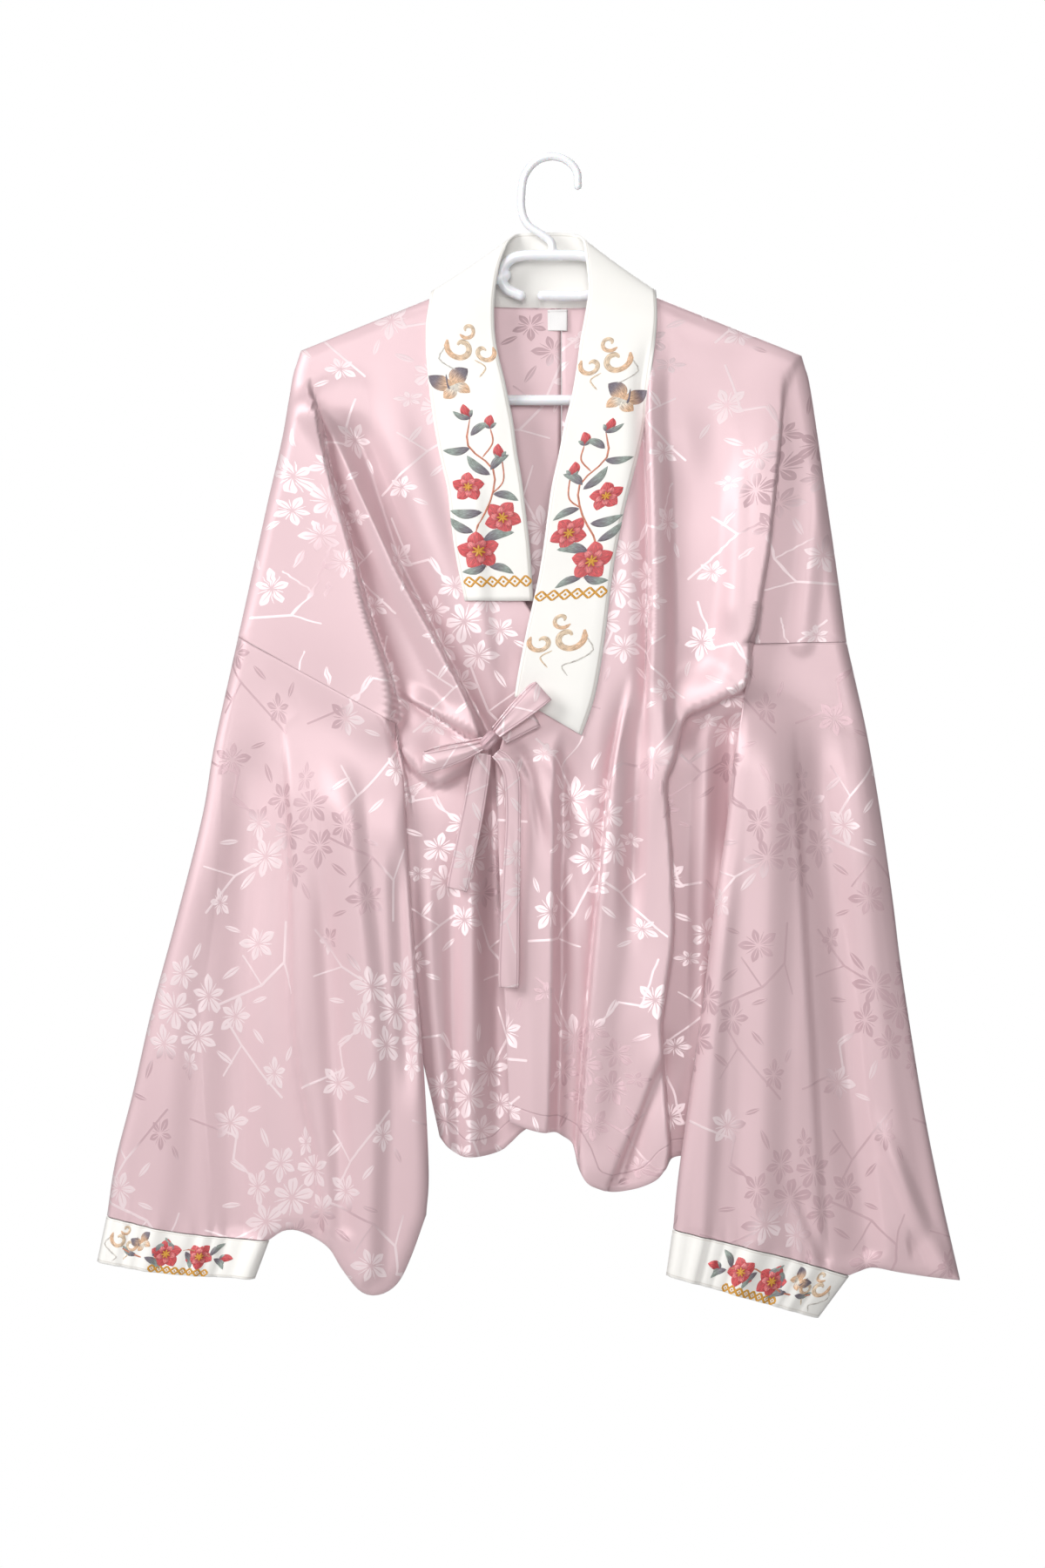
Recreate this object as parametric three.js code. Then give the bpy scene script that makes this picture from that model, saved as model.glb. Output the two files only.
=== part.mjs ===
import * as THREE from "three";

// Sizes are in millimetres. +Z is up, the front faces -Y and +X is the wearer's left.
// The origin is the top of the inside of the hook, where it rests on a rod.

const CLOTH = 1.5; // thickness of one layer of cloth
const SEAM = 0.6; // half of the space between two pieces that are sewn together
const EDGE = 0.5; // half of the space where a front meets its back
const LAP = 3; // from the middle of a panel to the middle of the band on it
const ROLL = 12; // how far in a panel rounds towards its closed edge
const STEP = 15; // how wide the side of an overlapping fold is, seen from the front
const SLEEVE_HALF = 7.5; // half of the depth of a hanging sleeve
const HANGER_ROD = 4.5; // radius of the hanger's arms and bar
const HOOK_ROD = 3.5; // radius of the hook

const clamp = (t) => Math.min(1, Math.max(0, t));
const mix = (a, b, t) => a + (b - a) * t;
const smooth = (a, b, x) => {
  const t = clamp((x - a) / (b - a));
  return t * t * (3 - 2 * t);
};
const round = (d, r) => Math.sqrt(1 - (1 - clamp(d / r)) ** 2);

// How a point lies beside a line of [x, z] points: how far off it is, with + to the right for
// one who looks at a line that goes down, and how far along the line it is, from 0 to 1.
function beside(line, x, z) {
  let best = Infinity, off = 0, along = 0, run = 0;
  for (let i = 0; i + 1 < line.length; i++) {
    const [ax, az] = line[i], dx = line[i + 1][0] - ax, dz = line[i + 1][1] - az;
    const length = Math.hypot(dx, dz);
    const t = clamp(((x - ax) * dx + (z - az) * dz) / length ** 2);
    const d = Math.hypot(x - ax - t * dx, z - az - t * dz);
    if (d < best - 1e-9) {
      best = d;
      off = Math.sign(dx * (z - az) - dz * (x - ax) || 1) * d;
      along = run + t * length;
    }
    run += length;
  }
  return { off, along: along / run };
}
const from = (line, x, z) => Math.abs(beside(line, x, z).off);

// The height of a line of [x, z] points over a place x.
function over(line, x) {
  const up = line[0][0] < line[line.length - 1][0] ? line : [...line].reverse();
  let i = 0;
  while (i < up.length - 2 && x > up[i + 1][0]) i++;
  return mix(up[i][1], up[i + 1][1], clamp((x - up[i][0]) / (up[i + 1][0] - up[i][0])));
}

const fade = (f, along) =>
  (f.start ? smooth(0, f.start, along) : 1) * (f.end ? 1 - smooth(1 - f.end, 1, along) : 1);

// A fold that lies over its neighbour: the cloth is high on its near side and low beyond it.
function lap(f, x, z) {
  const { off, along } = beside(f.line, x, z), d = off * (f.nearIs ?? 1);
  const high = f.high * (1 - smooth(0, f.highOver, -d));
  const low = -f.low * (1 - smooth(0, f.lowOver, d));
  return mix(high, low, smooth(-STEP / 2, STEP / 2, d)) * fade(f, along);
}

// A soft roll, or a valley where its height is below zero.
function roll(f, x, z) {
  const { off, along } = beside(f.line, x, z);
  return f.high * (1 - smooth(0, off < 0 ? f.left : f.right, Math.abs(off))) * fade(f, along);
}
const sum = (list, f, x, z) => list.reduce((s, row) => s + f(row, x, z), 0);

// ---------------------------------------------------------------- outlines, [x, z]

const RIDGE = {
  right: [[-98.6, -113.8], [-200, -153.5], [-208, -158]],
  left: [[84, -113], [198, -157.5], [206.6, -162]],
};
const OUTER = {
  right: [[-208, -158], [-215, -181], [-224, -235], [-236, -285], [-248, -341], [-260, -395],
    [-279, -483], [-289, -543], [-310, -626], [-331, -704], [-346, -770], [-361, -829], [-368, -874]],
  left: [[206.6, -162], [213, -184], [220, -228], [228, -285], [236, -341], [244, -399.5],
    [258, -463], [265, -502], [274, -560], [282, -618], [289, -674], [305, -775], [320, -852], [337, -927]],
};
const SIDE = {
  right: [[-127.5, -467.5], [-123, -500], [-124.5, -532], [-127, -591], [-119, -678], [-107, -750], [-93, -808]],
  left: [[166, -402], [162, -436], [152, -462], [147, -505], [147, -650], [147, -822]],
};
const SIDE_MEETS = { right: 4, left: 11 }; // how far in front of the hanger the side seams lie
const SIDE_BACK = { right: EDGE, left: 1.5 }; // from there to the edge of the back

// ---------------------------------------------------------------- folds of the panels

const RIGHT_FRONT_LAPS = [
  { line: [[-204, -190], [-186, -261], [-166, -332], [-153, -382], [-137.5, -427], [-130, -464]],
    high: 12, highOver: 95, low: 4, lowOver: 16, start: 0.2 },
  { line: [[-201, -202], [-177, -238], [-153, -276], [-129, -324], [-105, -381], [-84, -429], [-58, -478]],
    high: 8, highOver: 20, low: 4, lowOver: 24, start: 0.3 },
  { line: [[-127, -484], [-112, -504], [-96, -515], [-75, -506], [-56, -490]], nearIs: -1,
    high: 8, highOver: 34, low: 2, lowOver: 30, end: 0.1 },
];
const RIGHT_FRONT_ROLLS = [
  { line: [[-150, -190], [-105, -310], [-66, -430]], high: 4, left: 16, right: 26, start: 0.3, end: 0.2 },
  { line: [[-118, -446], [-62, -478]], high: 4, left: 7, right: 7, start: 0.2 },
  { line: [[-60, -505], [-66, -640], [-70, -824]], high: 5, left: 17, right: 13, start: 0.15 },
  { line: [[-104, -560], [-98, -690], [-86, -812]], high: 4, left: 14, right: 13, start: 0.3 },
];
const LEFT_OVERHANG = [[204, -166], [196, -179], [189, -195], [185, -238], [181, -274], [176, -322], [170, -358],
  [164, -399], [160, -434], [143, -443], [127, -451], [110, -459], [104, -472], [98, -497], [91, -518],
  [95, -570], [97, -638], [92, -680], [87, -720], [90, -762], [96, -842]];
const LEFT_FRONT_ROLLS = [
  { line: [[90, -150], [87, -230], [87, -300], [89, -420], [92, -485]], high: 8, left: 8, right: 11, start: 0.2, end: 0.3 },
  { line: [[-19, -520], [-20, -640], [-20, -805]], high: 5, left: 17, right: 16, start: 0.5 },
  { line: [[10, -500], [9, -650], [7, -812]], high: -6, left: 14, right: 13, start: 0.5 },
  { line: [[76, -500], [66, -640], [44, -850]], high: 6, left: 28, right: 34, start: 0.3 },
  { line: [[-30, -486], [6, -570], [24, -700]], high: 3, left: 9, right: 9, start: 0.2, end: 0.4 },
  { line: [[128, -470], [122, -640], [126, -822]], high: 3, left: 14, right: 14, start: 0.2 },
  { line: [[222, -240], [214, -330], [206, -400]], high: 3, left: 14, right: 14, start: 0.4 },
];
const BACK_ROLLS = [
  { line: [[-150, -190], [-92, -400], [-78, -815]], high: 5, left: 26, right: 26, start: 0.2 },
  { line: [[-60, -300], [-40, -560], [-36, -815]], high: 4, left: 18, right: 18, start: 0.4 },
  { line: [[60, -260], [48, -520], [50, -815]], high: 5, left: 22, right: 22, start: 0.4 },
  { line: [[140, -190], [98, -420], [100, -815]], high: 5, left: 24, right: 24, start: 0.2 },
];

// How far in front of the hanger's plane each front lies, away from its closed edges.
const FRONT = {
  right(x, z) {
    const hidden = smooth(-34, -52, x); // what lies under the other front is flat
    return 8 + 4 * smooth(100, 250, -z) + sum(RIGHT_FRONT_LAPS, lap, x, z) +
      hidden * sum(RIGHT_FRONT_ROLLS, roll, x, z) - 3 * (1 - hidden) * smooth(380, 430, -z);
  },
  left(x, z) {
    const { off, along } = beside(LEFT_OVERHANG, x, z);
    const near = 1 - smooth(-STEP / 2, STEP / 2, off);
    const lift = 9 * (1 - smooth(0, 38, Math.abs(off))) * smooth(0, 0.2, along);
    return 8 + near * (1 + 14 * smooth(140, 330, -z) + lift) + (1 - near) * 3 * smooth(0, 0.15, along) +
      sum(LEFT_FRONT_ROLLS, roll, x, z);
  },
};
const back = (x, z) => 11 + sum(BACK_ROLLS, roll, x, z);

// A point of a front (way -1) or a back (way 1), rounded towards the ridge, the outer fold and
// the side seam.
function onBody(side, way, x, z, atSide = false) {
  const d = Math.min(from(RIDGE[side], x, z), from(OUTER[side], x, z));
  const free = (way < 0 ? FRONT[side](x, z) : back(x, z)) * round(d, ROLL);
  const seam = -SIDE_MEETS[side] + (way < 0 ? -EDGE : SIDE_BACK[side]);
  const y = mix(seam, way * (EDGE + free), atSide ? 0 : round(from(SIDE[side], x, z), ROLL));
  return [x, y, z];
}

// ---------------------------------------------------------------- sheets and walls

// Faces over rows of points, seen from the side on which the rows run to the right going down.
function faces(rows, first = 0) {
  const wide = rows[0].length, list = [];
  for (let j = 0; j + 1 < rows.length; j++)
    for (let i = 0; i + 1 < wide; i++) {
      const a = first + j * wide + i;
      list.push([a, a + wide, a + wide + 1, a + 1]);
    }
  return list;
}
const flip = (list) => list.map((f) => [...f].reverse());

// One sheet from parts that share the points where they meet.
function sheet(...parts) {
  const points = [], quads = [], seen = new Map();
  for (const { rows, turned } of parts) {
    const at = rows.flat().map((p) => {
      const key = p.map((c) => Math.round(c * 500)).join();
      if (!seen.has(key)) seen.set(key, points.push(p) - 1);
      return seen.get(key);
    });
    const list = faces(rows);
    for (const f of turned ? flip(list) : list) quads.push(f.map((i) => at[i]));
  }
  return { points, quads };
}

// A closed wall of cloth about a sheet.
function wall({ points, quads }, thickness = CLOTH) {
  const normal = points.map(() => new THREE.Vector3());
  const at = points.map((p) => new THREE.Vector3(...p));
  const edges = new Map();
  for (const q of quads) {
    const n = new THREE.Vector3().subVectors(at[q[2]], at[q[0]])
      .cross(new THREE.Vector3().subVectors(at[q[3]], at[q[1]]));
    for (const i of q) normal[i].add(n);
    q.forEach((a, k) => {
      const b = q[(k + 1) % q.length];
      edges.set(`${a},${b}`, [a, b]);
    });
  }
  const half = thickness / 2, count = points.length, out = [], index = [];
  normal.forEach((n) => n.normalize());
  for (const s of [half, -half])
    at.forEach((p, i) => out.push(p.x + s * normal[i].x, p.y + s * normal[i].y, p.z + s * normal[i].z));
  for (const [a, b, c, d] of quads) {
    index.push(a, b, c, a, c, d);
    index.push(count + a, count + c, count + b, count + a, count + d, count + c);
  }
  for (const [a, b] of edges.values())
    if (!edges.has(`${b},${a}`)) index.push(b, a, count + a, b, count + a, count + b);
  return solid(out, index);
}

function solid(positions, index) {
  const g = new THREE.BufferGeometry();
  g.setAttribute("position", new THREE.Float32BufferAttribute(positions, 3));
  g.setIndex(index);
  g.computeVertexNormals();
  return g;
}

// Rows of [x, z] between an inner and an outer line, with closer columns towards the outer one.
function rows(sections, columns, close) {
  const list = [];
  sections.forEach((s, k) => {
    const next = sections[k + 1], steps = next ? s.rows : 1;
    for (let j = 0; j < steps; j++) {
      const t = j / steps, ends = ["inner", "outer"].map((e) =>
        next ? [mix(s[e][0], next[e][0], t), mix(s[e][1], next[e][1], t)] : s[e]);
      list.push(Array.from({ length: columns + 1 }, (_, i) => {
        const u = 1 - (1 - i / columns) ** close;
        return [mix(ends[0][0], ends[1][0], u), mix(ends[0][1], ends[1][1], u)];
      }));
    }
  });
  return list;
}

// Moves the lowest rows so that the last one follows a hem.
function hemmed(grid, count, hem) {
  const last = grid.length - 1, wide = grid[0].length;
  for (let i = 0; i < wide; i++) {
    const top = grid[last - count][i][1], drop = over(hem, grid[last][i][0]);
    for (let j = 1; j <= count; j++) grid[last - count + j][i][1] = mix(top, drop, j / count);
  }
  return grid;
}

// A front or a back: its rows laid on the height of its side.
function panel(side, way, grid, seamRows, sideRows) {
  const laid = grid.map((row, j) => row.map(([x, z], i) => {
    const last = i === row.length - 1, up = last && j >= seamRows[0] && j <= seamRows[1] ? SEAM : 0;
    return onBody(side, way, x, z + up, last && j >= sideRows);
  }));
  const turned = (side === "right") === (way < 0);
  return wall(sheet({ rows: laid, turned }));
}

// ---------------------------------------------------------------- body panels

const FRONT_COLUMNS = 20, BACK_COLUMNS = 12, FRONT_CLOSE = 1.35, BACK_CLOSE = 1.5;

const RIGHT_FRONT = [
  { inner: [-98.6, -113.8], outer: [-208, -158], rows: 1 },
  { inner: [-98.2, -115.3], outer: [-209, -161], rows: 1 },
  { inner: [-97.7, -120], outer: [-211.5, -169], rows: 1 },
  { inner: [-97.3, -127], outer: [-215, -181], rows: 1 },
  { inner: [-97, -152], outer: [-222, -223], rows: 2 },
  { inner: [-94, -195], outer: [-231.2, -265], rows: 2 },
  { inner: [-86, -238], outer: [-243, -317.7], rows: 2 },
  { inner: [-74, -282], outer: [-252, -359], rows: 2 },
  { inner: [-66, -303], outer: [-260, -395], rows: 6 },
  { inner: [-17, -375], outer: [-129, -466.5], rows: 1 },
  { inner: [-15, -390], outer: [-125.5, -483], rows: 2 },
  { inner: [-10, -440], outer: [-123, -515], rows: 3 },
  { inner: [0, -545], outer: [-127, -591], rows: 4 },
  { inner: [8, -660], outer: [-119, -678], rows: 5 },
  { inner: [17, -793], outer: [-93, -808] },
];
const RIGHT_HEM = [[17, -786], [-23, -803], [-36, -815], [-45, -822], [-60, -826], [-75, -825], [-86, -818], [-93, -808]];
const LEFT_FRONT = [
  { inner: [84, -113], outer: [206.6, -162], rows: 1 },
  { inner: [83.5, -114.5], outer: [207.5, -165], rows: 1 },
  { inner: [83, -119], outer: [209.5, -172], rows: 1 },
  { inner: [82, -126], outer: [213, -184], rows: 1 },
  { inner: [78, -148], outer: [219, -222], rows: 2 },
  { inner: [73, -181], outer: [226.6, -275], rows: 2 },
  { inner: [66, -235], outer: [234.5, -330], rows: 2 },
  { inner: [55, -285], outer: [241, -377.5], rows: 1 },
  { inner: [47, -318], outer: [244, -399.5], rows: 4 },
  { inner: [12, -400], outer: [167, -401], rows: 2 },
  { inner: [-12, -426], outer: [162, -436], rows: 1 },
  { inner: [-31, -450], outer: [152, -462], rows: 2 },
  { inner: [-36, -500], outer: [147, -505], rows: 5 },
  { inner: [-37, -650], outer: [147, -650], rows: 5 },
  { inner: [-35, -795], outer: [147, -822] },
];
const LEFT_HEM = [[-35, -795], [-5, -803], [0, -797], [18, -813], [22, -831], [29.5, -842], [50, -851], [73, -847],
  [93, -833], [100, -823], [147, -822]];
const RIGHT_BACK = [
  { inner: [-98.6, -113.8], outer: [-208, -158], rows: 1 },
  { inner: [-98.2, -115.3], outer: [-209, -161], rows: 1 },
  { inner: [-94, -118], outer: [-211.5, -169], rows: 1 },
  { inner: [-65, -119.5], outer: [-215, -181], rows: 1 },
  { inner: [-30, -120.5], outer: [-222, -223], rows: 1 },
  { inner: [7.6, -121], outer: [-231.2, -265], rows: 2 },
  { inner: [7.6, -190], outer: [-252, -359], rows: 1 },
  { inner: [7.6, -220], outer: [-260, -395], rows: 5 },
  { inner: [7.6, -340], outer: [-129, -466.5], rows: 1 },
  { inner: [7.6, -380], outer: [-125.5, -483], rows: 1 },
  { inner: [7.6, -430], outer: [-123, -515], rows: 3 },
  { inner: [7.6, -630], outer: [-119, -678], rows: 3 },
  { inner: [7.6, -788], outer: [-93, -806] },
];
const LEFT_BACK = [
  { inner: [84, -113], outer: [206.6, -162], rows: 1 },
  { inner: [83.5, -114.5], outer: [207.5, -165], rows: 1 },
  { inner: [80, -118], outer: [209.5, -172], rows: 1 },
  { inner: [55, -119.5], outer: [213, -184], rows: 1 },
  { inner: [30, -120.5], outer: [219, -222], rows: 1 },
  { inner: [8.4, -121], outer: [226.6, -275], rows: 2 },
  { inner: [8.4, -190], outer: [241, -377.5], rows: 1 },
  { inner: [8.4, -220], outer: [244, -399.5], rows: 4 },
  { inner: [8.4, -330], outer: [167, -401], rows: 1 },
  { inner: [8.4, -370], outer: [162, -436], rows: 1 },
  { inner: [8.4, -400], outer: [152, -462], rows: 3 },
  { inner: [8.4, -600], outer: [147, -640], rows: 3 },
  { inner: [8.4, -788], outer: [147, -822] },
];

// ---------------------------------------------------------------- sleeves and cuffs

// Each sleeve hangs as a flat tube: an outer fold, an inner seam, and a lower end that is open
// where the cuff is and closed beside it.
const SLEEVES = {
  right: {
    outer: OUTER.right.slice(5),
    inner: [[-130, -466], [-127, -501], [-122.5, -543], [-118, -603], [-112, -674], [-106, -752], [-102, -835], [-104, -871]],
    closed: [[-234, -893], [-221, -885], [-206, -886], [-185, -898], [-173, -916], [-158, -934], [-143, -937], [-128, -928],
      [-117, -907], [-104, -871]],
    cuffFirst: true, cuffColumns: 6, closedColumns: 10,
    cuffHem: [[-376, -912], [-331, -919], [-292, -923], [-246, -925]],
    cuffSeam: [[-368, -874], [-318, -885], [-271, -891], [-234, -893]],
    midOuter: 6, midInner: 22,
    rolls: [
      { line: [[-212, -440], [-216, -650], [-232, -880]], high: 5, left: 30, right: 26, start: 0.3 },
      { line: [[-165, -470], [-150, -700], [-142, -925]], high: 6, left: 20, right: 18, start: 0.3 },
      { line: [[-186, -560], [-186, -890]], high: -4, left: 14, right: 14, start: 0.4 },
      { line: [[-270, -500], [-310, -720], [-325, -880]], high: 4, left: 26, right: 26, start: 0.3 },
    ],
  },
  left: {
    outer: OUTER.left.slice(5),
    inner: [[168, -401], [166, -435], [158, -467], [151, -492], [143, -554], [135, -606], [126, -680], [117, -744],
      [104, -837], [99.5, -882]],
    closed: [[337, -927], [311, -924], [286, -920], [265, -916], [253, -919], [245, -922]],
    cuffFirst: false, cuffColumns: 9, closedColumns: 7,
    cuffSeam: [[245, -922], [215, -912], [185, -903], [138, -891], [99.5, -882]],
    cuffHem: [[219, -957], [178, -944], [135, -931], [94, -920]],
    midOuter: 8, midInner: 27,
    rolls: [
      { line: [[208, -420], [228, -650], [262, -905]], high: 4, left: 30, right: 26, start: 0.3 },
      { line: [[182, -430], [178, -650], [170, -890]], high: 4, left: 20, right: 20, start: 0.3 },
      { line: [[145, -560], [132, -720], [122, -880]], high: 4, left: 12, right: 14, start: 0.3 },
      { line: [[262, -520], [292, -740], [322, -915]], high: 3, left: 20, right: 16, start: 0.4 },
    ],
  },
};
const SLEEVE_ROWS = 20, CUFF_ROWS = 3;

const spline = (line) => {
  const curve = new THREE.SplineCurve(line.map(([x, z]) => new THREE.Vector2(x, z)));
  return (t) => curve.getPointAt(clamp(t)).toArray();
};
const between = (a, b, t) => [mix(a[0], b[0], t), mix(a[1], b[1], t)];
// Spaces columns or rows more closely towards one or both ends.
const closer = (t, start, end) => t + (start * Math.sin(Math.PI * t) * (1 - t) * -0.5 + end * Math.sin(Math.PI * t) * t * 0.5);

function sleeve(side) {
  const s = SLEEVES[side], outer = spline(s.outer), inner = spline(s.inner);
  const closed = spline(s.closed), cuffSeam = spline(s.cuffSeam);
  const first = s.cuffFirst ? s.cuffColumns : s.closedColumns, columns = s.cuffColumns + s.closedColumns;
  const split = s.cuffFirst ? 0.45 : 0.4;
  const isCuff = (i) => (s.cuffFirst ? i < first : i > first);
  const foot = (i) => {
    const [a, b] = s.cuffFirst ? [cuffSeam, closed] : [closed, cuffSeam];
    return i <= first ? a(i / first) : b((i - first) / (columns - first));
  };
  const across = (i) => (i <= first ? (split * i) / first : split + ((1 - split) * (i - first)) / (columns - first));
  const top = (u) => between(s.outer[0], s.inner[0], u);
  const lines = { outer: [...OUTER[side].slice(0, 5), ...s.outer], inner: s.inner, closed: s.closed };
  const make = (way) => Array.from({ length: SLEEVE_ROWS + 1 }, (_, j) => {
    const v = closer(j / SLEEVE_ROWS, 0.2, 0.5);
    return Array.from({ length: columns + 1 }, (_, i) => {
      const u = closer(across(i), 0.4, 0.4), [bx, bz] = foot(i), t = top(u), l = outer(v), r = inner(v);
      const c = [s.outer[0], s.inner[0], foot(0), foot(columns)];
      const [x, z] = [0, 1].map((k) => mix(t[k], [bx, bz][k], v) + mix(l[k], r[k], u) -
        mix(mix(c[0][k], c[1][k], u), mix(c[2][k], c[3][k], u), v));
      const shut = i === 0 || i === columns || (j === SLEEVE_ROWS && !isCuff(i));
      const d = Math.min(...Object.values(lines).map((line) => from(line, x, z)));
      const q = shut ? 0 : round(d, ROLL);
      const mid = mix(s.midOuter * smooth(0, 0.3, v), mix(SIDE_MEETS[side], s.midInner, smooth(0, 0.17, v)), smooth(0, 1, u));
      const fold = sum(s.rolls, roll, x, z) * smooth(0.05, 0.25, v);
      const hang = smooth(0, 0.22, v);
      const free = way < 0
        ? -mix(FRONT[side](x, z), mid + SLEEVE_HALF + fold, hang)
        : mix(back(x, z), SLEEVE_HALF - mid + 0.5 * Math.max(0, fold) * smooth(0.7, 0.4, u), hang);
      return [x, mix(-mid, free, q), z - (j === 0 ? SEAM : 0)];
    });
  });
  const front = make(-1), rear = make(1), turned = side === "left";
  return { front, rear, first, turned, s,
    mesh: wall(sheet({ rows: front, turned: !turned }, { rows: rear, turned })) };
}

// A cuff goes on from the open part of the sleeve's end.
function cuff({ front, rear, first, turned, s }) {
  const hem = spline(s.cuffHem), last = front.length - 1;
  const part = (rows) => (s.cuffFirst ? rows[last].slice(0, first + 1) : rows[last].slice(first));
  const grow = (edge) => Array.from({ length: CUFF_ROWS + 1 }, (_, j) => edge.map(([x, y, z], i) => {
    const [hx, hz] = hem(i / (edge.length - 1)), length = Math.hypot(hx - x, hz - z);
    const t = mix((2 * SEAM) / length, 1, j / CUFF_ROWS);
    const shut = i === 0 || i === edge.length - 1, middle = -edge.mid[i];
    const open = shut ? 0 : (y - middle) * (1 + 0.12 * t);
    return [mix(x, hx, t), middle + open, mix(z, hz, t)];
  }));
  const a = part(front), b = part(rear), mid = a.map((p, i) => -(p[1] + b[i][1]) / 2);
  a.mid = b.mid = mid;
  return wall(sheet({ rows: grow(a), turned: !turned }, { rows: grow(b), turned }));
}

// ---------------------------------------------------------------- collar band

// One strip from the end on the wearer's right, round the neck, to the end on the left. Where y
// isn't given the band lies on the front of that side.
const BAND = [
  { on: "right", seam: [-72, -366], free: [-15.5, -366] },
  { on: "right", seam: [-77, -343], free: [-17, -341] },
  { on: "right", seam: [-81, -321], free: [-19, -316] },
  { on: "right", seam: [-84, -297], free: [-22, -291] },
  { on: "right", seam: [-86.5, -274], free: [-25, -267] },
  { on: "right", seam: [-92, -250], free: [-29, -243] },
  { on: "right", seam: [-96.5, -227], free: [-32, -220] },
  { on: "right", seam: [-100, -204], free: [-35.5, -202] },
  { on: "right", seam: [-102.5, -182], free: [-39.5, -183] },
  { on: "right", seam: [-104, -165], free: [-44, -165] },
  { on: "right", seam: [-104.5, -148], free: [-47, -148] },
  { on: "right", seam: [-104, -134], free: [-48, -128] },
  { seam: [-102, -122], free: [-47, -109], y: [-11, -10.5] },
  { seam: [-100.5, -112.5], free: [-43.5, -88], y: [-6.8, -8] },
  { seam: [-98.5, -109], free: [-37, -69], y: [0, -2.5] },
  { seam: [-90, -112], free: [-32, -62], y: [9, 5] },
  { seam: [-70, -119], free: [-27, -59], y: [14.3, 10] },
  { seam: [-40, -123], free: [-18, -58], y: [14.6, 11.5] },
  { seam: [-5, -124], free: [-5, -57.5], y: [14.6, 12.5] },
  { seam: [30, -123], free: [10, -58], y: [14.6, 11.5] },
  { seam: [57, -119], free: [18, -59.5], y: [14.3, 10] },
  { seam: [76, -112], free: [22, -61.5], y: [9, 5] },
  { seam: [84.5, -108], free: [25.5, -67], y: [0, -2.5] },
  { seam: [86, -112], free: [28, -84], y: [-6.8, -8] },
  { seam: [86.5, -122], free: [30, -107], y: [-11, -10.5] },
  { on: "left", seam: [86.5, -135], free: [28, -124] },
  { on: "left", seam: [85, -153], free: [23, -152] },
  { on: "left", seam: [82, -172], free: [20, -174] },
  { on: "left", seam: [79, -195], free: [16, -197] },
  { on: "left", seam: [77, -217], free: [10, -221] },
  { on: "left", seam: [72, -241], free: [5, -247] },
  { on: "left", seam: [66, -265], free: [-0.5, -272] },
  { on: "left", seam: [60, -289], free: [-4, -297] },
  { on: "left", seam: [55, -312], free: [-7, -320] },
  { on: "left", seam: [50.5, -338], free: [-11, -345] },
  { on: "left", seam: [47, -364], free: [-16, -368] },
  { on: "left", seam: [44, -390], free: [-21, -390] },
  { on: "left", seam: [40, -418], free: [-26, -415] },
  { on: "left", seam: [34, -448], free: [-29, -431] },
  { on: "left", seam: [24, -477], free: [-31, -445] },
];
const BAND_COLUMNS = 4;

function collar() {
  const laid = BAND.map((s) => Array.from({ length: BAND_COLUMNS + 1 }, (_, i) => {
    const t = i / BAND_COLUMNS, [x, z] = between(s.seam, s.free, t);
    return [x, s.on ? -(FRONT[s.on](x, z) + EDGE + LAP) : mix(s.y[0], s.y[1], t), z];
  }));
  return wall(sheet({ rows: laid, turned: true }));
}

// ---------------------------------------------------------------- ties

// A ribbon along a path of rows with a place, a direction across it and a width.
function ribbon(path) {
  const laid = path.map(({ at, across, wide }) => [-0.5, 0, 0.5].map((k) =>
    [at[0] + across[0] * wide * k, at[1] + (across[2] ?? 0) * wide * k, at[2] + across[1] * wide * k]));
  return wall(sheet({ rows: laid }));
}
const along = (a, b) => { const l = Math.hypot(b[0] - a[0], b[1] - a[1]); return [(b[0] - a[0]) / l, (b[1] - a[1]) / l]; };

const KNOT = { at: [-51, -38, -482], size: [8.5, 6.5, 7.5] };
const LOOP_SIDE = [
  { out: 0, deep: -1.9, wide: 9 }, { out: 0.3, deep: -2.8, wide: 12 }, { out: 0.65, deep: -3.4, wide: 16 },
  { out: 0.92, deep: -3, wide: 18 }, { out: 1, deep: 0, wide: 18.5 }, { out: 0.92, deep: 3, wide: 18 },
  { out: 0.65, deep: 3.4, wide: 16 }, { out: 0.3, deep: 2.8, wide: 12 }, { out: 0, deep: 1.9, wide: 9 },
];
const LOOPS = {
  tie_loop_upper: { start: [-43.5, -473.5], end: [-8, -444], y: -38, tilt: 0 },
  tie_loop_lower: { start: [-61.5, -485], end: [-104, -499], y: -36, tilt: 0.35 },
};
const TAILS = {
  tie_tail_left: [
    { at: [-56.5, -35.5, -492], wide: 13 }, { at: [-59, -34, -505], wide: 16 }, { at: [-64, -31.5, -535], wide: 17.5 },
    { at: [-71, -29.5, -570], wide: 18 }, { at: [-78.5, -28.5, -602.5], wide: 17 },
  ],
  tie_tail_right: [
    { at: [-46.2, -38, -491.5], wide: 9 }, { at: [-38.5, -38.5, -499], wide: 12 }, { at: [-33, -38, -513], wide: 13 },
    { at: [-32, -36.5, -545], wide: 12 }, { at: [-33.5, -35.5, -590], wide: 14 }, { at: [-35, -35, -640], wide: 16 },
    { at: [-35.8, -34.5, -682], wide: 16 },
  ],
};
const STUB = [
  { at: [-41.5, -33, -479], wide: 12 }, { at: [-30, -32, -471.5], wide: 15 }, { at: [-13.5, -31.5, -462.5], wide: 16 },
];

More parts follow.
